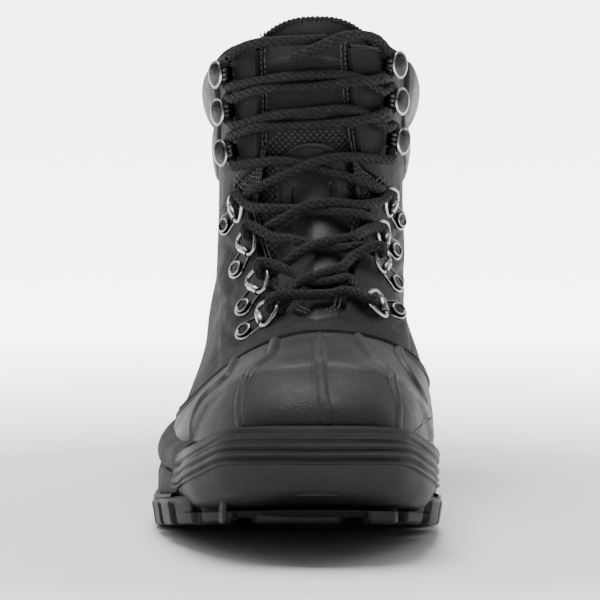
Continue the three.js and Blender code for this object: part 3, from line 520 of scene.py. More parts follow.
finish = {
    "nubuck": makeNubuck(),
    "padding": makeSmoothLeather("cowhideCoatedSoft", ("#151415", "#1c1b1c"), 0.52, 0.3, 0.12),
    "tongue": makeSmoothLeather("cowhideCoatedMatt", ("#151313", "#1d1b1a"), 0.58, 0.25, 0.25),
    "shell": makeRubber("vulcanisedRubberShell", ("#1b1b1c", "#232324"), 0.52, 0.3),
    # The toe's front face takes a darker copy of the shell rubber: the pebble is the rubber's own grain, the
    # darker colour is painted shade on the face that turns forward and down
    "toe": makeRubber("vulcanisedRubberPebbled", ("#181718", "#1f1f1f"), 0.58, 0.24, 0.13),
    "sole": makeRubber("vulcanisedRubberSole", ("#131315", "#1b1b1d"), 0.5, 0.25),
    "sidewall": makeRubber("foamedRubberSidewall", ("#151416", "#1f1e1c"), 0.66, 0.22, 0.25),
    "mesh": makeCloth("openNylonMesh", ("#080707", "#3a3534"), 1.9, 0.7, 0.6, turned=0.78),
    "satin": makeCloth("ribbedNylonSatin", ("#0f0e0e", "#302d2d"), 1.1, 0.5, 0.3, ribs=True),
    "lining": makeCloth("brushedLining", ("#121111", "#1c1a19"), 1.4, 0.95, 0.2),
    "label": makeCloth("wovenLabelBare", ("#0e0d0d", "#171515"), 0.9, 0.75, 0.1),
    "felt": makeCloth("pressedFelt", ("#262422", "#35322e"), 1.8, 0.95, 0.2),
    "binding": makeCloth("knittedBinding", ("#110f0f", "#272322"), 1.2, 0.85, 0.35),
    "braid": makeBraid(),
    "metal": makeGunmetal("blackNickelPlated", ("#232324", "#3d3d40")),
    "rim": makeGunmetal("blackNickelRubbed", ("#77787b", "#a5a6aa")),
    "thread": makeThread("bondedNylonThread", "#1a1817"),
}
print("materials made")


# The lace: its two ends first, then the whole run through hooks and rings

lace = {
    "ends": {
        "outer": [(18.25, -44, 3.7), (18.55, -36, 3.3), (18.7, -25, 3), (18.75, -9, 2.3), (18.8, 6, 2.3)],
        "inner": [(18.42, 40, 3.7), (18.85, 32, 3.5), (18.95, 24, 3.6), (18.85, 13, 4.3), (18.4, 1, 3.9),
                  (18.05, -9, 3.1)],
    },
    "bar": [(7.42, -9, 2.6), (7.4, -3, 2.2), (7.42, 4, 2.2), (7.5, 10, 2.7)],
    "crossings": [
        ([(8.72, 15, 3.1), (8.25, 9, 3), (7.98, 2, 2.9), (7.82, -5, 3), (7.74, -10, 2.9)],
         [(8.22, -12, 2.7), (8.05, -9, 2.4), (7.86, -4, 1.8), (7.82, 1, 1.9), (7.84, 7, 2.5),
          (7.92, 11, 2.8)]),
        ([(10, 25, 3.1), (9.3, 15, 3.3), (8.95, 4, 3.5), (8.72, -6, 3.4), (8.6, -12, 3.2)],
         [(9.6, -20, 3.1), (9.3, -12, 2.8), (9.05, -4, 2.3), (8.92, 4, 2.2), (8.92, 12, 2.9),
          (9.08, 18, 3.2)]),
        ([(11.9, 34, 3.3), (11, 22, 3.3), (10.5, 6, 3.5), (10.28, -4, 3.6), (10.1, -13, 3.4),
          (10.08, -20, 3.2)],
         [(11.5, -31, 3.3), (10.85, -20, 3), (10.45, -8, 2.3), (10.24, 3, 2.3), (10.25, 13, 2.9),
          (10.55, 24, 3.2)]),
        ([(14.85, 44, 3.7), (14, 24, 3.3), (13.4, 9, 3.4), (12.85, 0, 3.6), (12.3, -9, 3.5),
          (12.2, -31, 3.3)],
         [(14.4, -42, 3.7), (13.9, -30, 3.3), (13.4, -16, 2.8), (12.95, -4, 2.3), (12.35, 12, 2.7),
          (12.5, 32, 3.3)]),
        ([(15.65, -43, 3.5), (15.6, -27, 3.2), (15.42, -6, 2.3), (15.55, 12, 2.8), (15.95, 28, 4.2),
          (16.3, 37, 4.2)],
         [(15.85, 40, 3.4), (16.1, 24, 2.9), (16.1, 13, 2.5), (15.95, 0, 2.4), (15.9, -18, 2.8),
          (15.95, -42, 3.5)]),
        ([(16.85, -44, 3.6), (16.9, -24, 3.2), (16.9, 1, 2.3), (17.12, 17, 3.3), (17.28, 28, 4.2),
          (17.45, 35, 4.2)],
         [(17, 37, 3.4), (17.3, 24, 2.9), (17.4, 13, 2.5), (17.4, 0, 2.4), (17.28, -18, 2.9),
          (17.25, -43, 3.5)]),
    ],
    "sides": 30, "step": 0.46, "plaitPitch": 3.4, "plaitStrands": 5, "plaitDepth": 0.3,
}


def lacePoints(route):
    route = np.array(route)
    return onLast(route[:, 0], route[:, 1], route[:, 2] * layer["laceRadius"])


def plait(arc, turn):
    # Two families of strands wound opposite ways, each showing where it passes over the other
    wind = 2 * math.pi * arc / lace["plaitPitch"]
    one = np.cos(lace["plaitStrands"] * turn + wind)
    other = np.cos(lace["plaitStrands"] * turn - wind)
    return lace["plaitDepth"] * (np.maximum(one, other) - 0.75)


def makeLaceTube(name, path):
    points, faces, uv = tubeMesh(path, layer["laceRadius"], lace["sides"], plait)
    piece = meshPiece(name, points, faces, finish["braid"], uv)
    crest = piece.data.attributes.new("crest", "FLOAT", "POINT")
    height = plait(uv[:, 0] * 1000, uv[:, 1] * 2 * math.pi) / lace["plaitDepth"]
    crest.data.foreach_set("value", np.clip(height + 0.75, 0, 1).astype(np.float32))
    return piece


def makeLaceEnds():
    for side, route in lace["ends"].items():
        path = smoothPath(lacePoints(route), lace["step"])
        name = "lace_end_" + side
        piece = makeLaceTube(name, path)
        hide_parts(name)


makeLaceEnds()

# Metal fittings: rings on teardrop plates, and speed hooks

fittings = {
    # rivet row and degrees, ring row and degrees
    "rings": {
        "outer_1": (12.3, -54, 12.35, -45), "outer_2": (9.9, -43, 10.15, -34),
        "outer_3": (8.3, -35, 8.5, -25), "outer_4": (7.35, -34, 7.25, -22),
        "inner_1": (12.8, 58, 12.9, 48), "inner_2": (10.95, 51, 10.8, 39),
        "inner_3": (9.05, 41, 9.05, 28), "inner_4": (7.75, 35, 7.4, 21),
    },
    "hooks": {
        "outer_1": (17.75, -55), "outer_2": (16.6, -54), "outer_3": (15.3, -51),
        "inner_1": (18, 47), "inner_2": (16.85, 50), "inner_3": (15.7, 52),
    },
    "wire": 0.95, "ringWidth": 13, "ringReach": 9.5, "hinge": 8.5, "ringTilt": 12, "barrelRadius": 1.75,
    "barrelWidth": 6.8, "plate": 1.0, "hookRise": 5.6, "coverLength": 12.4, "coverWidth": 8.8,
    "sheet": 0.8, "stemWidth": 6.0, "lean": 0.45, "lift": 0.7,
}


def seat(row, at, toward):
    # Axes of a fitting: x toward a point, z outward, and its place on the last
    up = unit(outward(row, at) + fittings["lean"] * -cameraAhead)
    x = unit(toward - up * (toward @ up))
    return onLast(row, at, layer["fittings"] + fittings["lift"]), np.stack([x, np.cross(up, x), up])


def ringSeat(name):
    row, at, ringRow, ringAt = fittings["rings"][name]
    return seat(row, at, onLast(ringRow, ringAt, 0) - onLast(row, at, 0))


def hookSeat(name):
    row, at = fittings["hooks"][name]
    return seat(row, at, onLast(row, 0, 0) - onLast(row, at, 0))


def put(local, seated):
    origin, axes = seated
    return origin + np.asarray(local, float) @ axes


def lathed(rings, sides, centre=(0, 0), shape=None):
    # Rings of (radius, height) round z; `shape` gives a radius factor by turn
    turn = np.linspace(0, 2 * math.pi, sides, endpoint=False)
    factor = np.ones(sides) if shape is None else shape(turn)
    points = [[centre[0] + r * f * math.cos(a), centre[1] + r * f * math.sin(a), z]
              for r, z in rings for a, f in zip(turn, factor)]
    return np.array(points), gridFaces(len(rings), sides, closed=True)


def withRim(points, faces, sides, bright):
    # Marks the bands of a lathed part that are rubbed bright
    kinds = np.zeros(len(faces), int)
    for band in bright:
        kinds[band * sides:(band + 1) * sides] = 1
    return points, faces, kinds


def platePart():
    f = fittings
    bow = [(4.6 * math.cos(a), 4.6 * math.sin(a)) for a in np.radians(np.linspace(65, 295, 24))]
    tail = f["hinge"] + 0.3
    around = np.array([*bow, (tail, -f["barrelWidth"] / 2), (tail, f["barrelWidth"] / 2), bow[0]])
    outline = evenly(around, 0.5)[:-1]
    middle = np.array([f["hinge"] * 0.4, 0])
    rings = []
    for share, height in ((1, 0), (1, 0.6), (0.96, 0.95), (0.87, 1.0), (0.84, 0.8), (0.5, 0.8), (0.02, 0.8)):
        rim = middle + (outline - middle) * share
        rings.append(np.column_stack([rim, np.full(len(outline), height * f["plate"])]))
    faces = gridFaces(len(rings), len(outline), closed=True)
    return withRim(np.concatenate(rings), faces, len(outline), (1, 2))


def rivetPart():
    rings = [
        (3.1, 0.9), (3.1, 1.5), (2.95, 1.85), (2.65, 2.0), (2.35, 1.9), (2.15, 1.6), (1.9, 1.5), (1.0, 1.62),
        (0.02, 1.66),
    ]
    return withRim(*lathed(rings, 28, shape=lambda a: 1 + 0.14 * np.cos(a) ** 2), 28, (2, 3))


def barrelPart():
    f = fittings
    half, radius = f["barrelWidth"] / 2, f["barrelRadius"]
    rings = [
        (0.1, -half), (radius * 0.75, -half), (radius, -half + 0.35),
        (radius, half - 0.35), (radius * 0.75, half), (0.1, half),
    ]
    points, faces = lathed(rings, 18)
    points = np.column_stack([points[:, 0] + f["hinge"], points[:, 2], points[:, 1] + radius])
    return withRim(points, faces, 18, (2,))


def ringPath():
    f, tilt = fittings, math.radians(fittings["ringTilt"])
    turns = np.radians(np.linspace(12, 168, 19))
    bow = [(f["ringReach"] * math.sin(a) ** 0.9, f["ringWidth"] / 2 * math.cos(a)) for a in turns]
    flat = [(0, -4.7), (-0.2, -3.6), (-0.2, 0), (-0.2, 3.6), (0, 4.7), *bow]
    return np.array([
        [f["hinge"] + out * math.cos(tilt), side, 2 + out * math.sin(tilt)] for out, side in flat])


def closedSmooth(path, step):
    around = smoothPath(np.concatenate([path[-3:], path, path[:3]]), 0.2)
    start = np.argmin(np.linalg.norm(around[:60] - path[0], axis=1))
    rest = around[start:]
    stop = np.argmin(np.linalg.norm(rest[len(rest) // 2:] - path[0], axis=1)) + len(rest) // 2
    return evenly(rest[:stop + 1], step)[:-1]


def hookParts():
    f = fittings
    top = f["hookRise"] + f["sheet"]
    half = f["stemWidth"] / 2
    disc = [(3.9, 0), (3.9, 0.5), (3.6, 0.8), (0.02, 0.85)]
    foot = lathed(disc, 28, (-0.2, 0), lambda a: 1 + 0.25 * np.sin(a) ** 2)

    def oval(a):
        return 1 / np.sqrt(np.cos(a) ** 2 + (np.sin(a) * f["coverWidth"] / f["coverLength"]) ** 2)

    radius = f["coverWidth"] / 2
    profile = [
        (0.02, top - 1.5), (radius * 0.7, top - 1.45), (radius - 0.7, top - 1.15),
        (radius - 0.15, top - 0.85), (radius, top - 0.4), (radius - 0.2, top), (radius - 0.8, top + 0.28),
        (radius * 0.6, top + 0.45), (0.02, top + 0.55),
    ]
    cover = withRim(*lathed(profile, 44, (-0.2, 0), oval), 44, (4, 5))
    bend = [
        (3.2, 0.35), (4.3, 0.45), (5.2, 1.1), (5.55, 2.2), (5.6, 3.2), (5.45, 4.3), (4.9, 5.2), (3.9, 5.65),
        (2.6, 5.7),
    ]
    stem = []
    across = np.linspace(-half, half, 25)
    for x, z in smoothPath(bend, 0.5):
        fade = min(1, z / 1.5, (f["hookRise"] + 0.4 - z) / 0.8 + 0.3)
        ridge = 0.28 * np.cos(across / half * 3 * math.pi) * fade
        stem.append(np.column_stack([x + ridge + 0.45, across, np.full(25, z)]))
    back = [row - np.array([0.85, 0, 0]) for row in stem]
    ring = [np.concatenate([a, b[::-1]]) for a, b in zip(stem, back)]
    return [foot, cover, (np.concatenate(ring), gridFaces(len(ring), 50, closed=True))]


def makeFittings():
    plates, rings, hooks = [], [], []
    for name in fittings["rings"]:
        seated = ringSeat(name)
        plates += [(put(part[0], seated), *part[1:]) for part in (platePart(), rivetPart(), barrelPart())]
        points, faces, _ = tubeMesh(closedSmooth(ringPath(), 0.55), fittings["wire"], 12, closed=True)
        rings.append((put(points, seated), faces, np.ones(len(faces), int)))
    for name in fittings["hooks"]:
        hooks += [(put(part[0], hookSeat(name)), *part[1:]) for part in hookParts()]
    for name, parts, nodes in (
        ("ring_plates", plates, ["ring_plate_" + k for k in fittings["rings"]]),
        ("rings", rings, ["ring_" + k for k in fittings["rings"]]),
        ("speed_hooks", hooks, ["hook_" + k for k in fittings["hooks"]]),
    ):
        points, faces = joined(parts)
        piece = meshPiece(name, points, faces, [finish["metal"], finish["rim"]])
        kinds = [part[2] if len(part) > 2 else np.zeros(len(part[1]), int) for part in parts]
        piece.data.polygons.foreach_set("material_index", np.concatenate(kinds).tolist())
        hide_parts(*nodes)


makeFittings()
print("fittings made")


def upRing(name):
    # The lace leaves over a ring's bow; this follows it back through the hole to under the bow
    tilt = math.radians(fittings["ringTilt"])
    bowX = fittings["hinge"] + fittings["ringReach"] * math.cos(tilt)
    bowZ = 2 + fittings["ringReach"] * math.sin(tilt)
    turn = fittings["wire"] + layer["laceRadius"] - 0.2
    turns = np.radians([70, 105, 142, 180, 218, 250])
    local = [(bowX + turn * math.cos(a), 0, bowZ + turn * math.sin(a)) for a in turns]
    local = [(x, 1.4 * (1 - 2 * i / 5), max(z, 1.2)) for i, (x, _, z) in enumerate(local)]
    return put(local, ringSeat(name))


def roundHook(name):
    # Under a hook's cover from its lower side to its upper side
    origin, axes = hookSeat(name)
    local = [(4.6, -6.0, 3.3), (2.9, -4.2, 3.1), (2.2, -1.6, 3.1), (2.2, 1.6, 3.1), (2.9, 4.2, 3.1),
             (4.6, 6.0, 3.3)]
    path = put(local, (origin, axes))
    return path if path[-1][2] > path[0][2] else path[::-1]


def makeLace():
    c = [(lacePoints(over), lacePoints(under)) for over, under in lace["crossings"]]
    bar = lacePoints(lace["bar"])
    outerWay = [
        upRing("outer_4"), c[0][0][::-1], upRing("inner_3"), c[1][1][::-1], upRing("outer_2"), c[2][0][::-1],
        upRing("inner_1"), c[3][1][::-1], roundHook("outer_3"), c[4][0], roundHook("inner_2"), c[5][1],
        roundHook("outer_1"), lacePoints(lace["ends"]["outer"])[:1],
    ]
    innerWay = [
        upRing("inner_4"), c[0][1][::-1], upRing("outer_3"), c[1][0][::-1], upRing("inner_2"), c[2][1][::-1],
        upRing("outer_1"), c[3][0][::-1], roundHook("inner_3"), c[4][1], roundHook("outer_2"), c[5][0],
        roundHook("inner_1"), lacePoints(lace["ends"]["inner"])[:1],
    ]
    route = np.concatenate([np.concatenate(outerWay)[::-1], bar, np.concatenate(innerWay)])
    kept = [route[0]]
    for point in route[1:-1]:
        if np.linalg.norm(point - kept[-1]) > 1.4:
            kept.append(point)
    path = smoothPath([*kept, route[-1]], lace["step"])
    length = float(np.linalg.norm(np.diff(path, axis=0), axis=1).sum())
    print("the lace between its ends is", round(length), "mm long")
    piece = makeLaceTube("lace", path)
    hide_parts("lace_bar", *["lace_crossing_" + str(i + 1) for i in range(6)])


makeLace()
print("lace made")


# Lines of the boot: the shell's top, the collar, the throat and the sole

lines = {
    # seen from the side: y as a share of the last's length, z in millimetres
    "shell": [(-0.8, 142.8), (-0.3, 109.2), (-0.252, 84), (-0.23, 74.3), (-0.18, 61.7), (-0.125, 53.8),
              (-0.05, 48.3), (0.08, 46.2), (0.26, 48.3), (0.4, 54.2), (0.7, 62.2)],
    "shellTilt": 0.1,
    "collar": [(-0.1, 199.7), (0.07, 196.9), (0.14, 192.3), (0.2, 189), (0.3, 187.9), (0.4, 193.9),
               (0.47, 197.7), (0.6, 198.6)],
    "rand": [(-0.55, 57.7), (-0.48, 55.4), (-0.413, 46.5), (-0.36, 41.4), (-0.321, 38.1), (-0.302, 24.1)],
    "randEnd": [(-0.321, 38.1), (-0.302, 24.1), (-0.285, 16.8), (-0.28, 5.6)],
    # seen from the front: z in millimetres, x as a share of the shaft's width from `throatMiddle`
    "throatMiddle": 5.0,
    "throatOuter": [(88.4, -0.05), (90.5, -0.127), (97, -0.2), (107.9, -0.253), (123.2, -0.312),
                    (131, -0.33), (136.9, -0.43), (146.1, -0.28), (152.8, -0.27), (173.8, -0.27),
                    (191, -0.282), (229, -0.29)],
    "throatInner": [(88.4, 0.11), (90.9, 0.195), (98, 0.22), (108.5, 0.26), (123.2, 0.304), (132.9, 0.357),
                    (137.9, 0.468), (146.1, 0.292), (156.6, 0.273), (173.8, 0.247), (192.9, 0.234),
                    (229, 0.234)],
    "throatBottom": 87.8,
    "facingOuter": [(57, -0.46), (87.9, -0.49), (107, -0.53), (129.9, -0.57), (152.8, -0.545), (229, -0.53)],
    "facingInner": [(57, 0.53), (87.9, 0.54), (107, 0.56), (129.9, 0.575), (152.8, 0.555), (229, 0.51)],
}


def alongCurve(rows, x):
    # The value of a line at x, on the same kind of curve as the solids have
    rows = np.array(rows, float)
    i = np.clip(np.searchsorted(rows[:, 0], x, side="right") - 1, 0, len(rows) - 2)
    t = np.clip((x - rows[i, 0]) / (rows[i + 1, 0] - rows[i, 0]), 0, 1)
    before, after = rows[np.maximum(i - 1, 0), 1], rows[np.minimum(i + 2, len(rows) - 1), 1]
    return curve(before, rows[i, 1], rows[i + 1, 1], after, t)


def shellTop(points):
    return alongCurve(lines["shell"], points[..., 1] / last["length"]) + lines["shellTilt"] * points[..., 0]


def collarTop(points):
    return alongCurve(lines["collar"], points[..., 1] / last["length"])


def throatX(side, z):
    rows = np.array(lines["throat" + side])
    x = lines["throatMiddle"] + last["shaft"] * np.interp(z, rows[:, 0], rows[:, 1])
    over = np.clip((z - lines["throatBottom"]) / 1.8, 0, 1)
    return mix(8.0, x, np.sqrt(1 - (1 - over) ** 2))


def throatEdgeAt(side, row):
    # Degrees round the last at which a row leaves the throat, nought below the throat
    sign = -1 if side == "Outer" else 1
    ats = np.linspace(0, 85, 341)
    points = onLast(row, sign * ats, layer["leather"])
    out = sign * (points[:, 0] - throatX(side, points[:, 2])) >= 0
    first = int(np.argmax(out))
    return sign * float(ats[first]) if out.any() else sign * 85.0


edgeRows = np.linspace(5, lastRow, 301)
throatEdges = {side: np.array([throatEdgeAt(side, row) for row in edgeRows]) for side in ("Outer", "Inner")}


def throatEdge(side, row):
    return np.interp(row, edgeRows, throatEdges[side])


def solveRow(wanted, low, high, steps=26):
    # Rows at which `wanted` turns from negative to positive
    for _ in range(steps):
        middle = (low + high) / 2
        under = wanted(middle) < 0
        low, high = np.where(under, middle, low), np.where(under, high, middle)
    return (low + high) / 2


def wrapAt(share, row):
    # Once round the shaft from the throat's inner edge over the heel to its outer edge
    return mix(throatEdge("Inner", row), 360 + throatEdge("Outer", row), share)


def lineRows(share, height, drop, kind="shell"):
    low, high = (5.0, 16.0) if kind == "shell" else (15.0, 20.0)
    top = shellTop if kind == "shell" else collarTop

    def over(row):
        points = onLast(row, wrapAt(share, row), height)
        return points[..., 2] - top(points) + drop
    return solveRow(over, np.full(share.shape, low), np.full(share.shape, high))


sole = {
    "length": 309.0, "width": 120.0, "thickness": 11.5, "lug": 4.5, "spring": 19.0, "arch": 6.0, "heel": 2.5,
    # lugs: where each field starts as a share of the length, and how many rows it has
    "lugFields": ((-0.43, 6), (0.16, 5)), "lugPitch": 20, "lugLength": 14, "lugLean": 4,
    # three across: both edges as shares of the width, and which way each leans
    "lugsAcross": ((-0.6, -0.2, -1), (-0.155, 0.165, 0), (0.21, 0.6, 1)),
    # y as a share of the length, edges as shares of the width
    "outline": [
        (-0.5, 0.015, 0.125), (-0.49, -0.06, 0.19), (-0.47, -0.15, 0.275), (-0.445, -0.245, 0.35),
        (-0.41, -0.33, 0.415), (-0.37, -0.385, 0.455), (-0.33, -0.415, 0.475), (-0.29, -0.445, 0.487),
        (-0.21, -0.487, 0.5), (-0.14, -0.5, 0.492), (-0.06, -0.488, 0.46), (0.02, -0.45, 0.425),
        (0.1, -0.405, 0.408), (0.18, -0.37, 0.4), (0.25, -0.342, 0.392), (0.33, -0.312, 0.378),
        (0.4, -0.265, 0.345), (0.45, -0.205, 0.292), (0.48, -0.135, 0.22), (0.495, -0.06, 0.14),
        (0.5, 0.01, 0.07),
    ],
}


def groundAt(y):
    along = np.asarray(y, float) / sole["length"]
    toe = np.maximum(0, (-0.13 - along) / 0.37) ** 1.15
    arch = ease(-0.05, 0.01, along) * (1 - ease(0.09, 0.155, along))
    return sole["spring"] * toe + sole["arch"] * arch + sole["heel"] * ease(0.465, 0.5, along)


def solePlan(step=1.0):
    # The sole's outline as a closed ring of points, from the toe down the inner side
    rows = np.array(sole["outline"])
    inner = np.column_stack([rows[:, 2] * sole["width"], rows[:, 0] * sole["length"]])
    outer = np.column_stack([rows[:, 1] * sole["width"], rows[:, 0] * sole["length"]])
    ring = np.column_stack([np.concatenate([inner, outer[::-1]]), np.zeros(2 * len(rows))])
    around = smoothPath(np.concatenate([ring[-4:], ring, ring[:5]]), 0.25)[:, :2]
    half = len(around) // 2
    start = int(np.argmin(np.linalg.norm(around[:half] - ring[0, :2], axis=1)))
    stop = half + int(np.argmin(np.linalg.norm(around[half:] - ring[0, :2], axis=1)))
    return evenly(around[start:stop + 1], step)[:-1]


plan = solePlan(0.5)
planAhead = unit(np.roll(plan, -1, 0) - np.roll(plan, 1, 0))
planInward = np.stack([-planAhead[:, 1], planAhead[:, 0]], -1)


def soleSweep(profile, keep):
    # Rings round the sole: `profile` gives (height at y, inset) for each level, and `keep`
    # says which points stay
    rings = []
    for heightAt, inset in profile:
        spot = plan + planInward * inset
        rings.append(np.column_stack([spot, heightAt(spot[:, 1])]))
    faces = gridFaces(len(rings), len(plan), closed=True)
    points = np.concatenate(rings)
    good = keep(points)
    return points, faces[good[faces].all(1)]


def behindRand(points):
    # Behind the rand's end, and a little way in under it
    y, z = points[:, 1], points[:, 2]
    rows = np.array(lines["randEnd"][::-1])
    return y > last["length"] * np.interp(z, rows[:, 1], rows[:, 0]) - 9


def bulged(levels, steps=14):
    # A rounded profile through a few (height, inset) levels
    path = smoothPath(np.array([(h, i, 0) for h, i in levels], float), 0.1)[:, :2]
    return path[np.linspace(0, len(path) - 1, steps).astype(int)]


# The shaft's leather, from the shell's line to the collar

upper = {
    "columns": 300, "rows": 190, "edgeRound": 1.1, "facingStep": 0.6, "stitchGroove": 0.22,
    "seams": (2.6, 4.4),
    # creases seen in the photograph: its pixels, depth in millimetres and half width
    "creases": [
        ([(208, 318), (222, 326), (236, 338), (244, 350)], 0.9, 3.2),
        ([(210, 296), (226, 300), (240, 312)], 0.6, 2.6),
        ([(216, 262), (228, 276), (236, 290)], 0.7, 3.0),
        ([(218, 236), (226, 246), (238, 252)], 0.6, 2.6),
        ([(219, 200), (226, 208), (232, 210)], 0.5, 2.4),
        ([(214, 276), (222, 286), (228, 302), (230, 316)], -0.5, 2.8),
        ([(398, 232), (392, 240), (384, 246)], 0.6, 2.6),
        ([(404, 270), (396, 276), (386, 284)], 0.7, 2.8),
        ([(408, 300), (400, 304), (390, 312)], 0.8, 3.0),
        ([(412, 330), (402, 326), (392, 330)], 0.7, 3.0),
        ([(401, 190), (394, 200), (386, 206)], 0.5, 2.4),
        ([(404, 252), (398, 262), (392, 268)], -0.5, 2.6),
        ([(262, 330), (285, 327), (315, 326), (345, 327)], -0.35, 3.0),
    ],
    "waves": 0.35,
}


def trough(distance, width):
    return np.clip(1 - (distance / width) ** 2, 0, 1) ** 2


def photoPath(pixels, height, step=1.0):
    # A line drawn on the photograph, as rows and degrees and as points on the last
    pairs = smoothOnLast(fromPhoto(pixels, height), step)
    return pairs, onLast(pairs[:, 0], pairs[:, 1], height)


def wavesOf(points):
    # Soft unevenness of leather, from a few crossing waves
    x, y, z = np.moveaxis(points, -1, 0)
    one = np.sin(x / 11 + z / 17 + 1.3) * np.sin(y / 13 - z / 9 + 0.4)
    return one + 0.5 * np.sin(z / 6.3 + x / 15) * np.sin(y / 7.9 + x / 12 + 2)


def makeUpper():
    u = upper
    share = np.linspace(0, 1, u["columns"])
    share = share - 0.055 * np.sin(2 * math.pi * share) / (2 * math.pi) * 3
    down = np.linspace(0, 1, u["rows"])[:, None]
    low, high = lineRows(share, layer["leather"], 0), lineRows(share, layer["leather"], 0, "collar")
    row = mix(low, high, down)
    at = wrapAt(share[None, :], row)
    points = onLast(row, at, layer["leather"])
    edges = []
    for side in ("Inner", "Outer"):
        rows = edgeRows[np.abs(throatEdge(side, edgeRows)) > 0.5]
        edges.append(onLast(rows, throatEdge(side, rows), layer["leather"]))
    gap = np.minimum(*(nearPath(points, edge[::2])[0] for edge in edges))
    height = np.full(row.shape, layer["leather"])
    facing = np.array([lines["facingOuter"], lines["facingInner"]])
    x, y, z = np.moveaxis(points, -1, 0)
    shares = [np.interp(z, side[:, 0], side[:, 1]) for side in facing]
    outerX, innerX = (lines["throatMiddle"] + last["shaft"] * share for share in shares)
    inside = np.minimum(x - outerX, innerX - x)
    height = height + u["facingStep"] * ease(-0.7, 0.7, inside) * (y < 50)
    height = height + u["waves"] * wavesOf(points) * ease(2, 9, gap)
    for seam in u["seams"]:
        height = height - u["stitchGroove"] * trough(gap - seam, 0.7)
    height = height + 0.25 * trough(gap - 3.5, 0.8) + 0.35 * trough(gap - 1.4, 1.3)
    for pixels, deep, wide in u["creases"]:
        path = photoPath(pixels, layer["leather"])[1]
        distance, along = nearPath(points, path)
        ends = np.sin(math.pi * np.clip(along, 0.02, 0.98)) ** 0.6
        ridge = 0.35 * deep * ends * trough(distance - 1.3 * wide, wide)
        height = height - deep * ends * trough(distance, wide) + ridge
    height = height - 0.9 * np.clip(1 - gap / u["edgeRound"], 0, 1) ** 2
    closed = (np.abs(at) < 0.6) | (np.abs(at - 360) < 0.6)
    base = np.where(closed, height, 0.3)
    # The last columns turn the wall's edge in, but not where both sides meet under the throat
    mesh = rimmed(row, at, height, base, "tblr", ())
    faces = gridFaces(*mesh.shape[:2])
    piece = meshPiece("upper_leather", mesh, faces, finish["nubuck"])
    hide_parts("upper")


def makeLining():
    share = np.linspace(0, 1, 150)
    high = lineRows(share, layer["leather"], 0, "collar")
    row = mix(np.full(share.shape, 2.0), high, np.linspace(0, 1, 130)[:, None])
    at = wrapAt(share[None, :], row)
    x = 0.2 + 0.1 * wavesOf(onLast(row, at, 0))
    meshPiece("lining", onLast(row, at, x), gridFaces(*row.shape), finish["lining"])


def makeCollarBinding():
    # A knitted edge that is turned over the collar, rough along its top
    share = np.linspace(0, 1, 420)
    row = lineRows(share, layer["leather"], 0, "collar")
    path = onLast(row, wrapAt(share, row), 1.7)

    def knit(arc, turn):
        loops = np.cos(2 * math.pi * arc / 2.1 + 2 * np.sin(turn)) * (0.5 + 0.5 * np.cos(4 * turn))
        return 0.28 * loops + 0.12 * np.sin(arc * 1.7)

    points, faces, uv = tubeMesh(evenly(path, 0.5), 2.0, 18, knit)
    meshPiece("collar_binding", points, faces, finish["binding"], uv)


# Rubber foot shell

shell = {
    "columns": 420, "rows": 150,
    # ribs seen in the photograph, from the bead down: pixels, height and half width in millimetres
    "ribs": [
        ([(319, 336), (320, 350), (320, 375), (324, 400), (327, 420)], 1.7, 2.1),
        ([(275, 341), (270, 355), (257, 366), (245, 377), (240, 390), (240, 425)], 1.7, 2.1),
        ([(358, 337), (370, 355), (388, 370), (397, 388), (400, 425)], 1.7, 2.1),
        ([(236, 359), (225, 378), (206, 395), (195, 412), (190, 436)], 1.6, 2.0),
        ([(398, 347), (405, 365), (418, 388), (430, 407)], 1.6, 2.0),
    ],
    "shoulder": [(180, 452), (188, 435), (196, 420), (205, 402), (225, 385), (245, 375), (290, 365),
                 (330, 362), (360, 367), (395, 378), (412, 388), (428, 412), (434, 440)],
    "shoulderStep": 0.7, "bead": 1.7, "beadPitch": 1.5,
}


def seatEdgeAt(row):
    # Degrees at which the last goes under the seat on a row, or the back where it doesn't
    ats = np.linspace(92, 180, 353)
    points = onLast(row, ats, layer["shell"])
    under = points[:, 2] < seatHeight(points[:, 1]) + 1
    return float(ats[int(np.argmax(under))]) if under.any() else 180.0


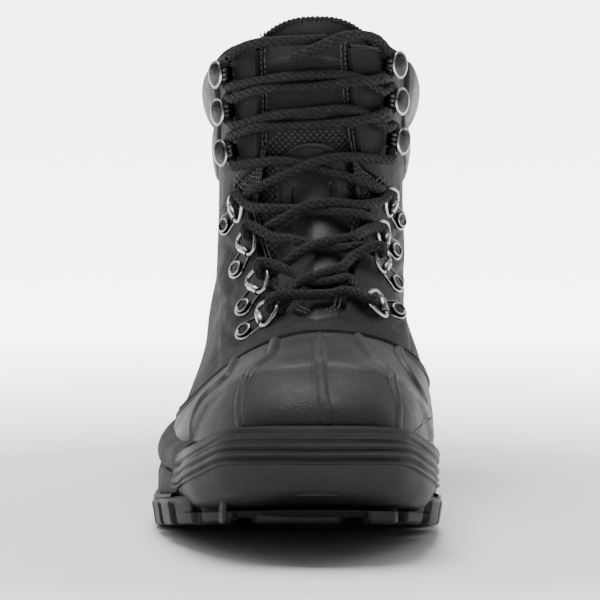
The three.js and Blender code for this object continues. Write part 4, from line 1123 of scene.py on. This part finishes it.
def makeShell():
    s = shell
    rows = np.linspace(0.3, 16, 200)
    edge = np.array([seatEdgeAt(row) for row in rows])
    side = np.linspace(-1, 1, s["columns"])

    def atOf(row):
        return side * np.interp(row, rows, edge)

    def over(row):
        points = onLast(row, atOf(row), layer["shell"])
        return points[..., 2] - shellTop(points) + 0.3
    top = solveRow(over, np.full(side.shape, 5.0), np.full(side.shape, 16.0))
    row = mix(np.full(side.shape, 0.3), top, np.linspace(1, 0, s["rows"])[:, None])
    at = side[None, :] * np.interp(row, rows, edge)
    points = onLast(row, at, layer["shell"])
    height = np.full(row.shape, layer["shell"]) + 0.12 * wavesOf(points)
    shoulder = np.array(sorted(fromPhoto(s["shoulder"], layer["shell"] + 0.6), key=lambda pair: pair[1]))
    front = np.interp(at, shoulder[:, 1], shoulder[:, 0], left=0, right=0) - row
    height = height - s["shoulderStep"] * ease(-0.12, 0.25, front) + 0.35 * trough(front + 0.25, 0.5)
    for pixels, high, wide in s["ribs"]:
        distance, along = nearPath(points, photoPath(pixels, layer["shell"])[1])
        fade = 1 - 0.75 * ease(0.55, 1, along)
        profile = np.sqrt(np.clip(1 - (distance / wide) ** 2, 0, 1))
        height = height + high * fade * profile - 0.3 * fade * trough(distance - 1.35 * wide, 1.1)
    # Faces ahead of the shoulder line take the darker pebbled rubber, whose darker colour is painted shade
    # on the toe's front face
    material = (front > 0.05).astype(int)
    mesh = rimmed(row, at, height, 1.5, "t", (0.7, 0.2))
    faces = gridFaces(*mesh.shape[:2])
    picked = np.concatenate([material[:1], material])[:-1, :-1].reshape(-1)
    piece = meshPiece("foot_shell", mesh, faces, [finish["shell"], finish["toe"]])
    piece.data.polygons.foreach_set("material_index", picked.tolist())
    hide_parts("shell")
    rim = onLast(top, side * np.interp(top, rows, edge), layer["shell"] - 0.3)
    rim = rim - np.array([0, 0, 1]) * s["bead"]
    rimPath = evenly(rim, 0.5)

    def corded(arc, turn):
        return 0.13 * np.cos(2 * math.pi * arc / s["beadPitch"])

    points, faces, uv = tubeMesh(rimPath, s["bead"], 14, corded)
    meshPiece("shell_bead", points, faces, finish["sole"], uv)
    # The leather's cut edge over the bead, slightly corrugated
    whip = onLast(top + 0.1, side * np.interp(top, rows, edge), layer["leather"] + 0.25)

    def wavy(arc, turn):
        return 0.1 * np.cos(2 * math.pi * arc / 1.6 + turn) + 0.12 * np.sin(arc / 7)

    points, faces, uv = tubeMesh(evenly(whip, 0.5), 0.95, 12, wavy)
    meshPiece("leather_edge", points, faces, finish["nubuck"], uv)


def makeRoll():
    def level(h):
        return lambda y: seatHeight(y) + h

    levels = [(5.0, 9), (6.4, 3.6), (10.6, 2.4), (14.6, 3.6), (17.4, 7), (18.6, 13)]
    profile = [(level(h), inset) for h, inset in bulged(levels)]
    points, faces = soleSweep(profile, behindRand)
    meshPiece("foot_roll", points, faces, finish["sidewall"])


def makeMidsole():
    def level(share):
        return lambda y: mix(groundAt(y) + sole["thickness"], seatHeight(y) + 5, share)

    levels = [(-0.12, 7), (0.06, 3.2), (0.5, 2.2), (0.92, 3.4), (1.08, 9)]
    profile = [(level(share), inset) for share, inset in bulged(levels)]
    points, faces = soleSweep(profile, behindRand)
    piece = meshPiece("midsole_sidewall", points, faces, finish["sidewall"])
    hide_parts("midsole")


# Tread, welt and toe rand

def notched(y, x):
    # How far a place on the edge lies in a gap between lugs, from 0 to 1
    pitch, length = sole["lugPitch"], sole["lugLength"]
    lean = np.where(x > 6, 1, -1) * sole["lugLean"]
    gap = np.ones(y.shape)
    for first, count in sole["lugFields"]:
        along = y - lean - first * sole["length"]
        inField = (along > -1) & (along < count * pitch - 5)
        phase = np.mod(along, pitch)
        here = ease(-0.6, 0.6, np.minimum(phase, length - phase))
        gap = np.where(inField, 1 - here, gap)
    return gap


def treadWall(levels, tuck):
    rings = []
    gap = notched(plan[:, 1], plan[:, 0])
    for height, inset in levels:
        recess = 5.5 * gap * ease(9.2, 7.2, height)
        spot = plan + planInward * (inset + recess + tuck * ease(-96, -126, plan[:, 1]))[:, None]
        rings.append(np.column_stack([spot, groundAt(plan[:, 1]) + np.maximum(height, 3.4 * gap)]))
    return np.concatenate(rings), gridFaces(len(rings), len(plan), closed=True)


def makeOutsole():
    def over(h):
        return lambda y: groundAt(y) + h

    levels = [(0, 8), (0, 2.4), (0.3, 1.7), (1.2, 1.2), (3, 0.9), (5, 0.6), (7, 0.3), (7.8, 0.1), (8.6, 0),
              (9.6, 0), (10.6, 0.5), (11.4, 1.4), (11.6, 2.6), (11.5, 20)]
    parts = [treadWall(levels, 4.5)]
    welt = [(over(10.9), 1.6), (over(11.3), 0.7), (over(12.0), 0.5), (over(12.6), 0.9), (over(12.8), 2.2),
            (over(12.6), 6)]
    parts.append(soleSweep(welt, behindRand))
    parts += lugParts()
    parts.append(underside())
    points, faces = joined(parts)
    return meshPiece("tread", points, faces, finish["sole"])


def underside():
    # The face between the lugs, in strips from one edge of the outline to the other
    y = np.linspace(-0.495, 0.495, 160) * sole["length"]
    left, right = edgesAt(y, 2.5)
    share = np.linspace(0, 1, 12)[:, None]
    x = mix(left, right, share)
    return np.stack(np.broadcast_arrays(x, y, groundAt(y) + sole["lug"]), -1), gridFaces(12, 160)


def edgesAt(y, inset):
    # Both edges of the sole at y, moved in
    rows = np.array(sole["outline"])
    share = y / sole["length"]
    left = np.interp(share, rows[:, 0], rows[:, 1]) * sole["width"] + inset
    right = np.interp(share, rows[:, 0], rows[:, 2]) * sole["width"] - inset
    return left, right


def lugParts():
    # Chevron lugs three across; each is a rounded block that follows the outline at its outer end
    parts = []
    for first, count in sole["lugFields"]:
        for i in range(count):
            for left, right, way in sole["lugsAcross"]:
                y = first * sole["length"] + i * sole["lugPitch"]
                part = lugPart(y, left * sole["width"], right * sole["width"], way * sole["lugLean"])
                if part is not None:
                    parts.append(part)
    return parts


def lugPart(y, left, right, lean):
    across = np.linspace(left, right, 13)
    start = y + np.linspace(-lean, lean, 13)
    middle = start + sole["lugLength"] / 2
    low, high = edgesAt(middle, 3.5 + 5 * float(ease(-96, -126, y)))
    if (high - low > 8).sum() < 6:
        return None
    across = np.clip(across, low, high)
    ends = np.ptp(across) / 2
    centre = (across.max() + across.min()) / 2
    blocks = []
    for rise, shrink in ((9.5, 0), (1.2, 0), (0.35, 0.4), (0, 1.2)):
        size = 1 - (shrink + 3 * float(ease(-100, -125, y))) / max(ends, 3)
        x = centre + (across - centre) * size
        front = np.column_stack([x, start + shrink])
        back = np.column_stack([x, start + sole["lugLength"] - shrink])[::-1]
        loop = np.concatenate([front, back])
        blocks.append(np.column_stack([loop, groundAt(np.clip(loop[:, 1], -154, 154)) + rise]))
    inner = np.column_stack([np.full(26, v) for v in (centre, middle.mean(), groundAt(middle.mean()))])
    return np.concatenate([*blocks, inner]), gridFaces(5, 26, closed=True)


rand = {
    "columns": 240, "net": 60, "bottom": 2.6, "bandDepth": 15.5, "bandStep": 1.0, "bandEnd": 3.5,
    # the upright line that the face is found from, and about how far the band runs to each side
    "axis": (6.0, -62.0), "halfLength": 110,
    "levels": (0, 0.35, 0.7, 1.06, 1.3, 1.55, 1.8, 2),
    "grooves": (0.36, 0.62, 0.83), "grooveDeep": 0.85, "grooveWide": 0.075,
}


def randSpot(turn, depthOf):
    # Row and degrees of the rand's face at a turn round the toe; `depthOf` gives z from y
    reach = np.array([math.sin(turn), -math.cos(turn)])
    y, found = -140.0, None
    for _ in range(4):
        z = depthOf(y)
        origin = (*(np.array(rand["axis"]) + reach * 150), z)
        hit = landing(origin, (-reach[0], -reach[1], 0), layer["rand"])
        if hit is None:
            return found
        found = hit
        y = float(onLast(hit[0], hit[1], layer["rand"])[1])
    return found


def randNet():
    # The face on a coarse net: levels from the top to the lip, turns from one end to the other
    r = rand
    ends = np.array(lines["randEnd"][::-1])

    def topOf(y):
        return float(alongCurve(lines["rand"][:-1], np.array(y / last["length"])))

    def levelAt(share):
        # From the band's top at 0, past its foot at 1, to the rand's lip at 2
        def depth(y):
            top, foot = topOf(y), float(groundAt(y)) + r["bottom"]
            band = top - r["bandDepth"]
            return mix(top, band, share) if share <= 1 else mix(band, foot, share - 1)
        return depth

    def endTurn(share, sign):
        inner, outer = 0.3, 1.45
        for _ in range(14):
            middle = (inner + outer) / 2
            hit = randSpot(sign * middle, levelAt(share))
            if hit is None:
                outer = middle
                continue
            point = onLast(hit[0], hit[1], layer["rand"])
            behind = point[1] > last["length"] * np.interp(point[2], ends[:, 1], ends[:, 0])
            inner, outer = (inner, middle) if behind else (middle, outer)
        return sign * inner

    net = np.zeros((len(r["levels"]), r["net"], 3))
    for i, share in enumerate(r["levels"]):
        for k, turn in enumerate(np.linspace(endTurn(share, -1), endTurn(share, 1), r["net"])):
            hit = randSpot(turn, levelAt(share))
            net[i, k] = onLast(hit[0], hit[1], 0) if hit is not None else net[i - 1, k]
    tip = r["net"] // 2
    # The last's own tip is no clean landing, so the net runs over it in a smooth curve
    near = np.arange(-11, 11)
    sure = near[(near < -5) | (near > 4)]
    for n in range(3):
        bend = np.polyfit(sure, net[:, tip + sure, n].T, 4)
        for k in range(-5, 5):
            net[:, tip + k, n] = bend.T @ (float(k) ** np.arange(4, -1, -1))
    return net


def randFace(shares):
    # The face drawn through the net, level by level
    r, net = rand, randNet()
    steps = np.linspace(0, r["net"] - 1, r["columns"])
    wide = np.stack([[np.interp(steps, np.arange(r["net"]), line[:, n]) for n in range(3)] for line in net])
    columns = range(r["columns"])
    face = np.stack([[np.interp(shares, r["levels"], wide[:, n, k]) for k in columns] for n in range(3)], -1)
    face = face.transpose(1, 0, 2)
    for _ in range(3):
        face[:, 1:-1] = (face[:, :-2] + 2 * face[:, 1:-1] + face[:, 2:]) / 4
    return face


def makeRand():
    r = rand
    shares = np.concatenate([np.linspace(0, 1.06, 64), np.linspace(1.1, 2, 26)])
    face = randFace(shares)
    share = shares[:, None]
    side = np.linspace(-1, 1, r["columns"])[None, :]
    toEnd = (1 - np.abs(side)) * r["halfLength"]
    along = ease(r["bandEnd"] - 1.2, r["bandEnd"] + 0.4, toEnd)
    height = layer["rand"] + r["bandStep"] * ease(1.03, 0.98, share) * along
    for groove in r["grooves"]:
        height = height - r["grooveDeep"] * along * np.exp(-((share - groove) / r["grooveWide"] * 1.6) ** 2)
    height = height + 0.3 * along * np.exp(-((share - 0.03) / 0.04) ** 2)
    height = height + 0.3 * along * np.exp(-((share - 0.96) / 0.05) ** 2)
    height = height + 0.12 * wavesOf(face) * (share > 1)
    # The edges turn in to the shell over the last few lines
    rim = ease(0, 0.05, share) * ease(0, 1.6, toEnd)
    height = mix(3.0, height, rim ** 0.5)
    normal = unit(np.cross(np.gradient(face, axis=1), np.gradient(face, axis=0)))
    normal = normal * np.sign((normal * (face - np.array([*r["axis"], 60]))).sum(-1, keepdims=True))
    for _ in range(4):
        normal[:, 1:-1] = unit(normal[:, :-2] + 2 * normal[:, 1:-1] + normal[:, 2:])
    mesh = face + normal * height[..., None]
    lip = mesh[-1] - np.array([0, 0, 0.8]) + planSide(mesh[-1], 1.0)
    under = mesh[-1] - np.array([0, 0, 1.0]) + planSide(mesh[-1], 9.0)
    mesh = np.concatenate([mesh, lip[None], under[None]])
    piece = meshPiece("toe_rand", mesh, gridFaces(*mesh.shape[:2]), finish["sole"])
    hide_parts("outsole")


def planSide(points, inward):
    # A step inward toward the rand's axis, level with the floor
    to = np.array(rand["axis"]) - points[:, :2]
    return np.column_stack([unit(to) * inward, np.zeros(len(points))])


# Tongue, with its details placed where the photograph shows them

tongue = {
    "rows": 330, "columns": 150,
    "label": {"left": 265, "right": 350, "top": 62, "bottom": 108, "bow": 7, "high": 0.5},
    "meshArc": [(256, 176), (262, 160), (267, 146), (275, 135), (287, 129), (300, 127), (330, 127),
                (343, 132), (350, 142), (356, 153), (364, 172)],
    "panelArc": [(276, 300), (277, 172), (281, 158), (287, 150), (296, 144), (310, 141), (325, 142),
                 (335, 147), (344, 158), (348, 172), (352, 300)],
    "panelSeam": [(283, 205), (284, 166), (288, 156), (295, 149), (309, 146), (324, 148), (333, 153),
                  (339, 163), (341, 205)],
    "slits": [[(294, 186), (293, 197), (294, 208)], [(330, 184), (331, 194), (330, 203)]],
    "stripEnd": 292,
    "creases": [([(290, 44), (310, 40), (335, 44)], 0.5, 3.0),
                ([(275, 118), (305, 121), (345, 117)], 0.45, 2.6)],
}


def belowArc(px, py, arc):
    # Positive where a pixel lies inside an arch drawn on the photograph
    arc = np.array(arc, float)
    inside = np.zeros(px.shape, bool)
    for (x0, y0), (x1, y1) in zip(arc, np.roll(arc, -1, 0)):
        crosses = (y0 > py) != (y1 > py)
        x = x0 + (py - y0) * (x1 - x0) / (y1 - y0 if y1 != y0 else 1e-9)
        inside ^= crosses & (px < x)
    return inside


def flatDistance(px, py, path):
    points = np.stack([px, py, np.zeros(px.shape)], -1)
    line = smoothPath(np.column_stack([np.array(path, float), np.zeros(len(path))]), 3)
    return nearPath(points, line)


def makeTongue():
    g = tongue
    p = np.linspace(0, 1, g["rows"])[:, None]
    across = np.linspace(-1, 1, g["columns"])[None, :]
    crown = 19.6 - 1.0 * np.abs(across) ** 2.2
    row = mix(6.2, crown, p)
    at = 3 + across * mix(23, 38, ease(6.5, 11, row))
    ends = np.minimum(1, np.minimum(6 * p + 0.3, 6 * (1 - p) + 0.35))
    puff = 3.6 * np.maximum(0, 1 - (across / 0.5) ** 2) ** 1.5 * ends * ease(6.9, 7.6, row)
    height = layer["tongueTop"] + puff
    low = layer["tongueTop"] - 5 * (1 - 0.75 * np.abs(across) ** 3) * ends
    points = onLast(row, at, height)
    px, py = inPhoto(points)
    label = g["label"]
    bow = label["bow"] * (1 - ((px - (label["left"] + label["right"]) / 2) / 42) ** 2)
    gap = np.minimum(np.minimum(px - label["left"], label["right"] - px),
                     np.minimum(py - (label["top"] + 4 - bow), label["bottom"] + bow * 0.6 - py))
    height = height + label["high"] * ease(0, 2.4, gap) - 0.25 * trough(gap + 1.5, 2.5)
    outer, inner = (belowArc(px, py, g[key]) for key in ("meshArc", "panelArc"))
    strips = (py > 160) & (py < g["stripEnd"]) & ~inner
    meshArea = (outer & ~inner & (py < 175)) | strips
    panelGap, _ = flatDistance(px, py, g["panelArc"])
    height = height - 0.5 * meshArea + np.where(inner, 0.5 * ease(0, 3, panelGap), 0)
    seamGap, _ = flatDistance(px, py, g["panelSeam"])
    height = height - 0.3 * trough(seamGap, 2.4)
    arcGap, _ = flatDistance(px, py, g["meshArc"])
    height = height + 0.35 * trough(arcGap + 1.0, 3.0) * (py < 150)
    for slit in g["slits"]:
        distance, _ = flatDistance(px, py, slit)
        height = height - 1.2 * trough(distance, 1.7)
    for pixels, deep, wide in g["creases"]:
        distance, along = flatDistance(px, py, pixels)
        height = height - deep * trough(distance / 2.4, wide) * np.sin(math.pi * np.clip(along, 0.03, 0.97))
    height = height + 0.22 * wavesOf(points * 1.6) * ends
    kind = np.zeros(px.shape, int)
    kind[meshArea] = 1
    kind[gap > 1.2] = 2
    top = rimmed(row, at, height, np.broadcast_to(low, height.shape), "tblr", (0.5, 0.15))
    back = onLast(row, at, low)[::6, ::6]
    shape = top.shape[:2]
    faces = gridFaces(*shape)
    picked = np.pad(kind, 1, mode="edge")[:-1, :-1].reshape(-1)
    points, allFaces = joined([(top, faces), (back, gridFaces(*back.shape[:2]))])
    finishes = [finish["tongue"], finish["mesh"], finish["label"]]
    piece = meshPiece("tongue_padded", points, allFaces, finishes)
    picked = np.concatenate([picked, np.zeros(len(allFaces) - len(faces), int)])
    piece.data.polygons.foreach_set("material_index", picked.tolist())
    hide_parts("tongue")
    # Rough cut edge along the top
    crownPath = onLast(row[-1], at[0] * 0 + at[-1], mix(low, height, 0.5)[-1])

    def fray(arc, turn):
        return 0.3 * np.sin(arc * 3.1 + turn) + 0.2 * np.sin(arc * 7.3 + 2 * turn)

    points, faces, uv = tubeMesh(evenly(crownPath, 0.5), 1.7, 14, fray)
    meshPiece("tongue_binding", points, faces, finish["binding"], uv)


# Collar pads, with a seam between the two rolls

pad = {"rows": 110, "columns": 320, "seam": 0.4, "lower": 3.4, "upper": 7.6, "pucker": 0.45,
       "puckerPitch": 6.0,
       # degrees round the last, and the rows of the lower and upper edge beside the hooks and at the back
       "from": 74, "to": 286, "sideRows": (15.9, 18.35), "backRows": (16.75, 19.1)}


def padRow(at, share):
    back = ease(90, 165, 180 - np.abs(180 - at))
    return mix(mix(*pad["sideRows"], share), mix(*pad["backRows"], share), back)


def makePad():
    g = pad
    p = np.linspace(0, 1, g["rows"])[:, None]
    q = np.linspace(0, 1, g["columns"])[None, :]
    at = mix(g["from"], g["to"], q) + 0 * p
    row = padRow(at, p)
    share = np.where(p < g["seam"], p / g["seam"], (p - g["seam"]) / (1 - g["seam"]))
    swell = np.where(p < g["seam"], g["lower"], g["upper"]) * np.sin(math.pi * np.clip(share, 0, 1)) ** 0.62
    ends = np.minimum(1, np.minimum(5 * q + 0.25, 5 * (1 - q) + 0.25))
    ends = ends * np.sqrt(np.clip(np.minimum(q, 1 - q) / 0.03, 0, 1)) ** 0.5
    height = layer["leather"] + 0.9 + swell * ends
    arc = at * 0.68
    nearSeam = np.exp(-((p - g["seam"]) / 0.09) ** 2)
    nearSeam = nearSeam + 0.6 * np.exp(-(p / 0.07) ** 2) + 0.6 * np.exp(-((1 - p) / 0.07) ** 2)
    phase = arc / g["puckerPitch"] * 2 * math.pi
    folds = np.sin(phase + 1.4 * np.sin(phase * 0.37)) * (0.6 + 0.4 * np.sin(phase * 0.21 + 1))
    height = height + g["pucker"] * nearSeam * folds * ends + 0.3 * wavesOf(onLast(row, at, 3))
    mesh = rimmed(row, at, height, 2.4, "tblr", (0.6, 0.2))
    piece = meshPiece("collar_padding", mesh, gridFaces(*mesh.shape[:2]), finish["padding"])
    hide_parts("collar_pad")


# Ribbed cloth in the notch of each facing

def makeInserts():
    for side, sign in (("outer", -1), ("inner", 1)):
        key = "throat" + side.capitalize()
        z = np.linspace(129, 149, 60)[:, None]
        rows = np.array(lines[key])
        notch = lines["throatMiddle"] + last["shaft"] * np.interp(z, rows[:, 0], rows[:, 1])
        straight = lines["throatMiddle"] + last["shaft"] * np.interp(z, (129, 149), (rows[4, 1], rows[8, 1]))
        x = mix(straight - sign * 2, notch + sign * 2.2, np.linspace(0, 1, 60)[None, :])
        places = zip(x.ravel(), (z + 0 * x).ravel())
        spots = [landing((a, -400, b), (0, 1, 0), 1.2) or (np.nan, np.nan) for a, b in places]
        spots = np.array(spots).reshape(60, 60, 2)
        ribs = 0.35 * np.abs(np.sin(z * math.pi / 1.9 + 0 * x))
        points = onLast(spots[..., 0], spots[..., 1], 1.0 + ribs)
        piece = meshPiece("flex_cloth_" + side, points, gridFaces(60, 60), finish["satin"])
        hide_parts("flex_insert_" + side)


def makeInsole():
    tree = skin(-0.6)[3]
    y = np.linspace(-134, 129, 150)
    sheets = []
    for one in y:
        z = float(seatHeight(one)) + layer["insole"]
        middle = 5.0
        sides = []
        for direction in (-1, 1):
            place = tree.ray_cast(Vector((middle, one, z)), Vector((direction, 0, 0)))[0]
            sides.append(place[0] if place is not None else middle + direction * 2)
        x = np.linspace(sides[0], sides[1], 50)
        swell = 0.4 * np.sin(x / 6) * math.sin(one / 9)
        turnedDown = 1.2 * (np.abs(np.linspace(-1, 1, 50)) > 0.98)
        sheets.append(np.column_stack([x, np.full(50, one), z + swell - turnedDown]))
    piece = meshPiece("footbed", np.stack(sheets), gridFaces(150, 50), finish["felt"])
    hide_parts("insole")


makeUpper()
makeLining()
makeCollarBinding()
print("shaft made")
makeShell()
makeRoll()
makeMidsole()
makeOutsole()
makeRand()
print("foot made")
makeTongue()
makePad()
makeInserts()
makeInsole()
print("tongue and pads made")


# Stitches: short twists of thread laid along a line

stitch = {"pitch": 2.5, "length": 1.9, "radius": 0.32, "firstRow": 6.75, "lastRow": 19.2}


def stitchParts(pairs, height):
    s = stitch
    pairs = np.asarray(pairs, float)
    points = onLast(pairs[:, 0], pairs[:, 1], height)
    arc = np.concatenate([[0], np.cumsum(np.linalg.norm(np.diff(points, axis=0), axis=1))])
    parts = []
    for start in np.arange(0.6, arc[-1] - s["length"], s["pitch"]):
        stops = start + s["length"] * np.array([0, 0.12, 0.35, 0.65, 0.88, 1])
        spots = np.stack([np.interp(stops, arc, points[:, k]) for k in range(3)], -1)
        pair = np.stack([np.interp(stops, arc, pairs[:, k]) for k in range(2)], -1)
        lift = np.array([-0.45, -0.1, 0.12, 0.12, -0.1, -0.45])
        spots = spots + outward(pair[:, 0], pair[:, 1]) * lift[:, None]
        radius = s["radius"] * np.array([0.5, 0.85, 1, 1, 0.85, 0.5])
        parts.append(tubeMesh(spots, radius, 6)[:2])
    return parts


def besideThroat(side, offset):
    # A line beside the throat's edge, `offset` millimetres into the facing
    rows = np.linspace(stitch["firstRow"], stitch["lastRow"], 500)
    edge = throatEdge(side, rows)
    sign = -1 if side == "Outer" else 1
    near = onLast(rows, edge, layer["leather"])
    along = unit(np.gradient(near, axis=0))
    normal = outward(rows, edge)
    into = unit(np.cross(along, normal)) * -sign
    turned = onLast(rows, edge + 0.5, layer["leather"]) - onLast(rows, edge - 0.5, layer["leather"])
    raised = onLast(rows + 0.05, edge, layer["leather"]) - onLast(rows - 0.05, edge, layer["leather"])
    perDegree, perRow = np.linalg.norm(turned, axis=1), np.linalg.norm(raised, axis=1) / 0.1
    return np.column_stack([
        rows + (into * unit(raised)).sum(1) * offset / perRow,
        edge + (into * unit(turned)).sum(1) * offset / perDegree,
    ])


def makeStitches():
    parts = []
    for side in ("Outer", "Inner"):
        for offset in upper["seams"]:
            parts += stitchParts(besideThroat(side, offset), layer["facing"] + 0.1)
    points, faces = joined(parts)
    meshPiece("throat_stitches", points, faces, finish["thread"])
    at = mix(pad["from"], pad["to"], np.linspace(0, 1, 300))
    seam = [np.column_stack([padRow(at, share), at]) for share in (0.385, 0.415)]
    points, faces = joined([part for line in seam for part in stitchParts(line, layer["leather"] + 0.9)])
    meshPiece("collar_stitches", points, faces, finish["thread"])


makeStitches()
print("stitches made")


# Floor and light

def makeFloor():
    mesh = bpy.data.meshes.new("floor")
    half = 200.0
    mesh.from_pydata([(-half, -half, 0), (half, -half, 0), (half, half, 0), (-half, half, 0)], [],
                     [(0, 1, 2, 3)])
    floor = bpy.data.objects.new("floor", mesh)
    # Seamless white paper: even and matt
    material, shader = newMaterial("whitePaper", "#f6f6f6", 0.9)
    tint(material, shader, noiseAt(material, 400), ("#f4f4f4", "#f7f7f7"))
    # The sweep beyond the boot is lit by itself, so it goes to white away from the shadow
    far = addNode(material, "ShaderNodeVectorMath", {"operation": "LENGTH"},
                  {0: place(material)}).outputs["Value"]
    settings = {"From Min": 0.2, "From Max": 0.7, "To Min": 0.0, "To Max": 5.0}
    glow = addNode(material, "ShaderNodeMapRange", settings, {"Value": far})
    material.node_tree.links.new(glow.outputs["Result"], shader.inputs["Emission Strength"])
    shader.inputs["Emission Color"].default_value = (1, 1, 1, 1)
    mesh.materials.append(material)
    bpy.context.scene.collection.objects.link(floor)


lights = [
    # name, place in metres, size in metres, power in watts
    ("overhead", (-0.15, 0.0, 1.9), 1.2, 52),
    ("left", (-1.5, 0.6, 0.9), 0.8, 4),
    ("right", (1.5, 0.6, 0.8), 0.8, 4),
]


def makeWorld():
    # A white studio that is darker behind the camera, as with a black flag on that side
    world = bpy.data.worlds.new("studio")
    world.use_nodes = True
    tree = world.node_tree
    ahead = tree.nodes.new("ShaderNodeTexCoord")
    parts = tree.nodes.new("ShaderNodeSeparateXYZ")
    span = tree.nodes.new("ShaderNodeMapRange")
    span.interpolation_type = "SMOOTHSTEP"
    for name, value in (("From Min", -0.35), ("From Max", 0.75), ("To Min", 0.18), ("To Max", 1.1)):
        span.inputs[name].default_value = value
    tree.links.new(ahead.outputs["Generated"], parts.inputs["Vector"])
    tree.links.new(parts.outputs["Y"], span.inputs["Value"])
    tree.links.new(span.outputs["Result"], tree.nodes["Background"].inputs["Strength"])
    tree.nodes["Background"].inputs["Color"].default_value = (1, 1, 1, 1)
    bpy.context.scene.world = world


def makeLights():
    for name, where, size, power in lights:
        data = bpy.data.lights.new(name, "AREA")
        data.size, data.energy = size, power
        lamp = bpy.data.objects.new(name, data)
        lamp.location = where
        lamp.rotation_mode = "QUATERNION"
        lamp.rotation_quaternion = (Vector((0, 0, 0.08)) - Vector(where)).to_track_quat("-Z", "Y")
        bpy.context.scene.collection.objects.link(lamp)


makeFloor()
makeWorld()
makeLights()
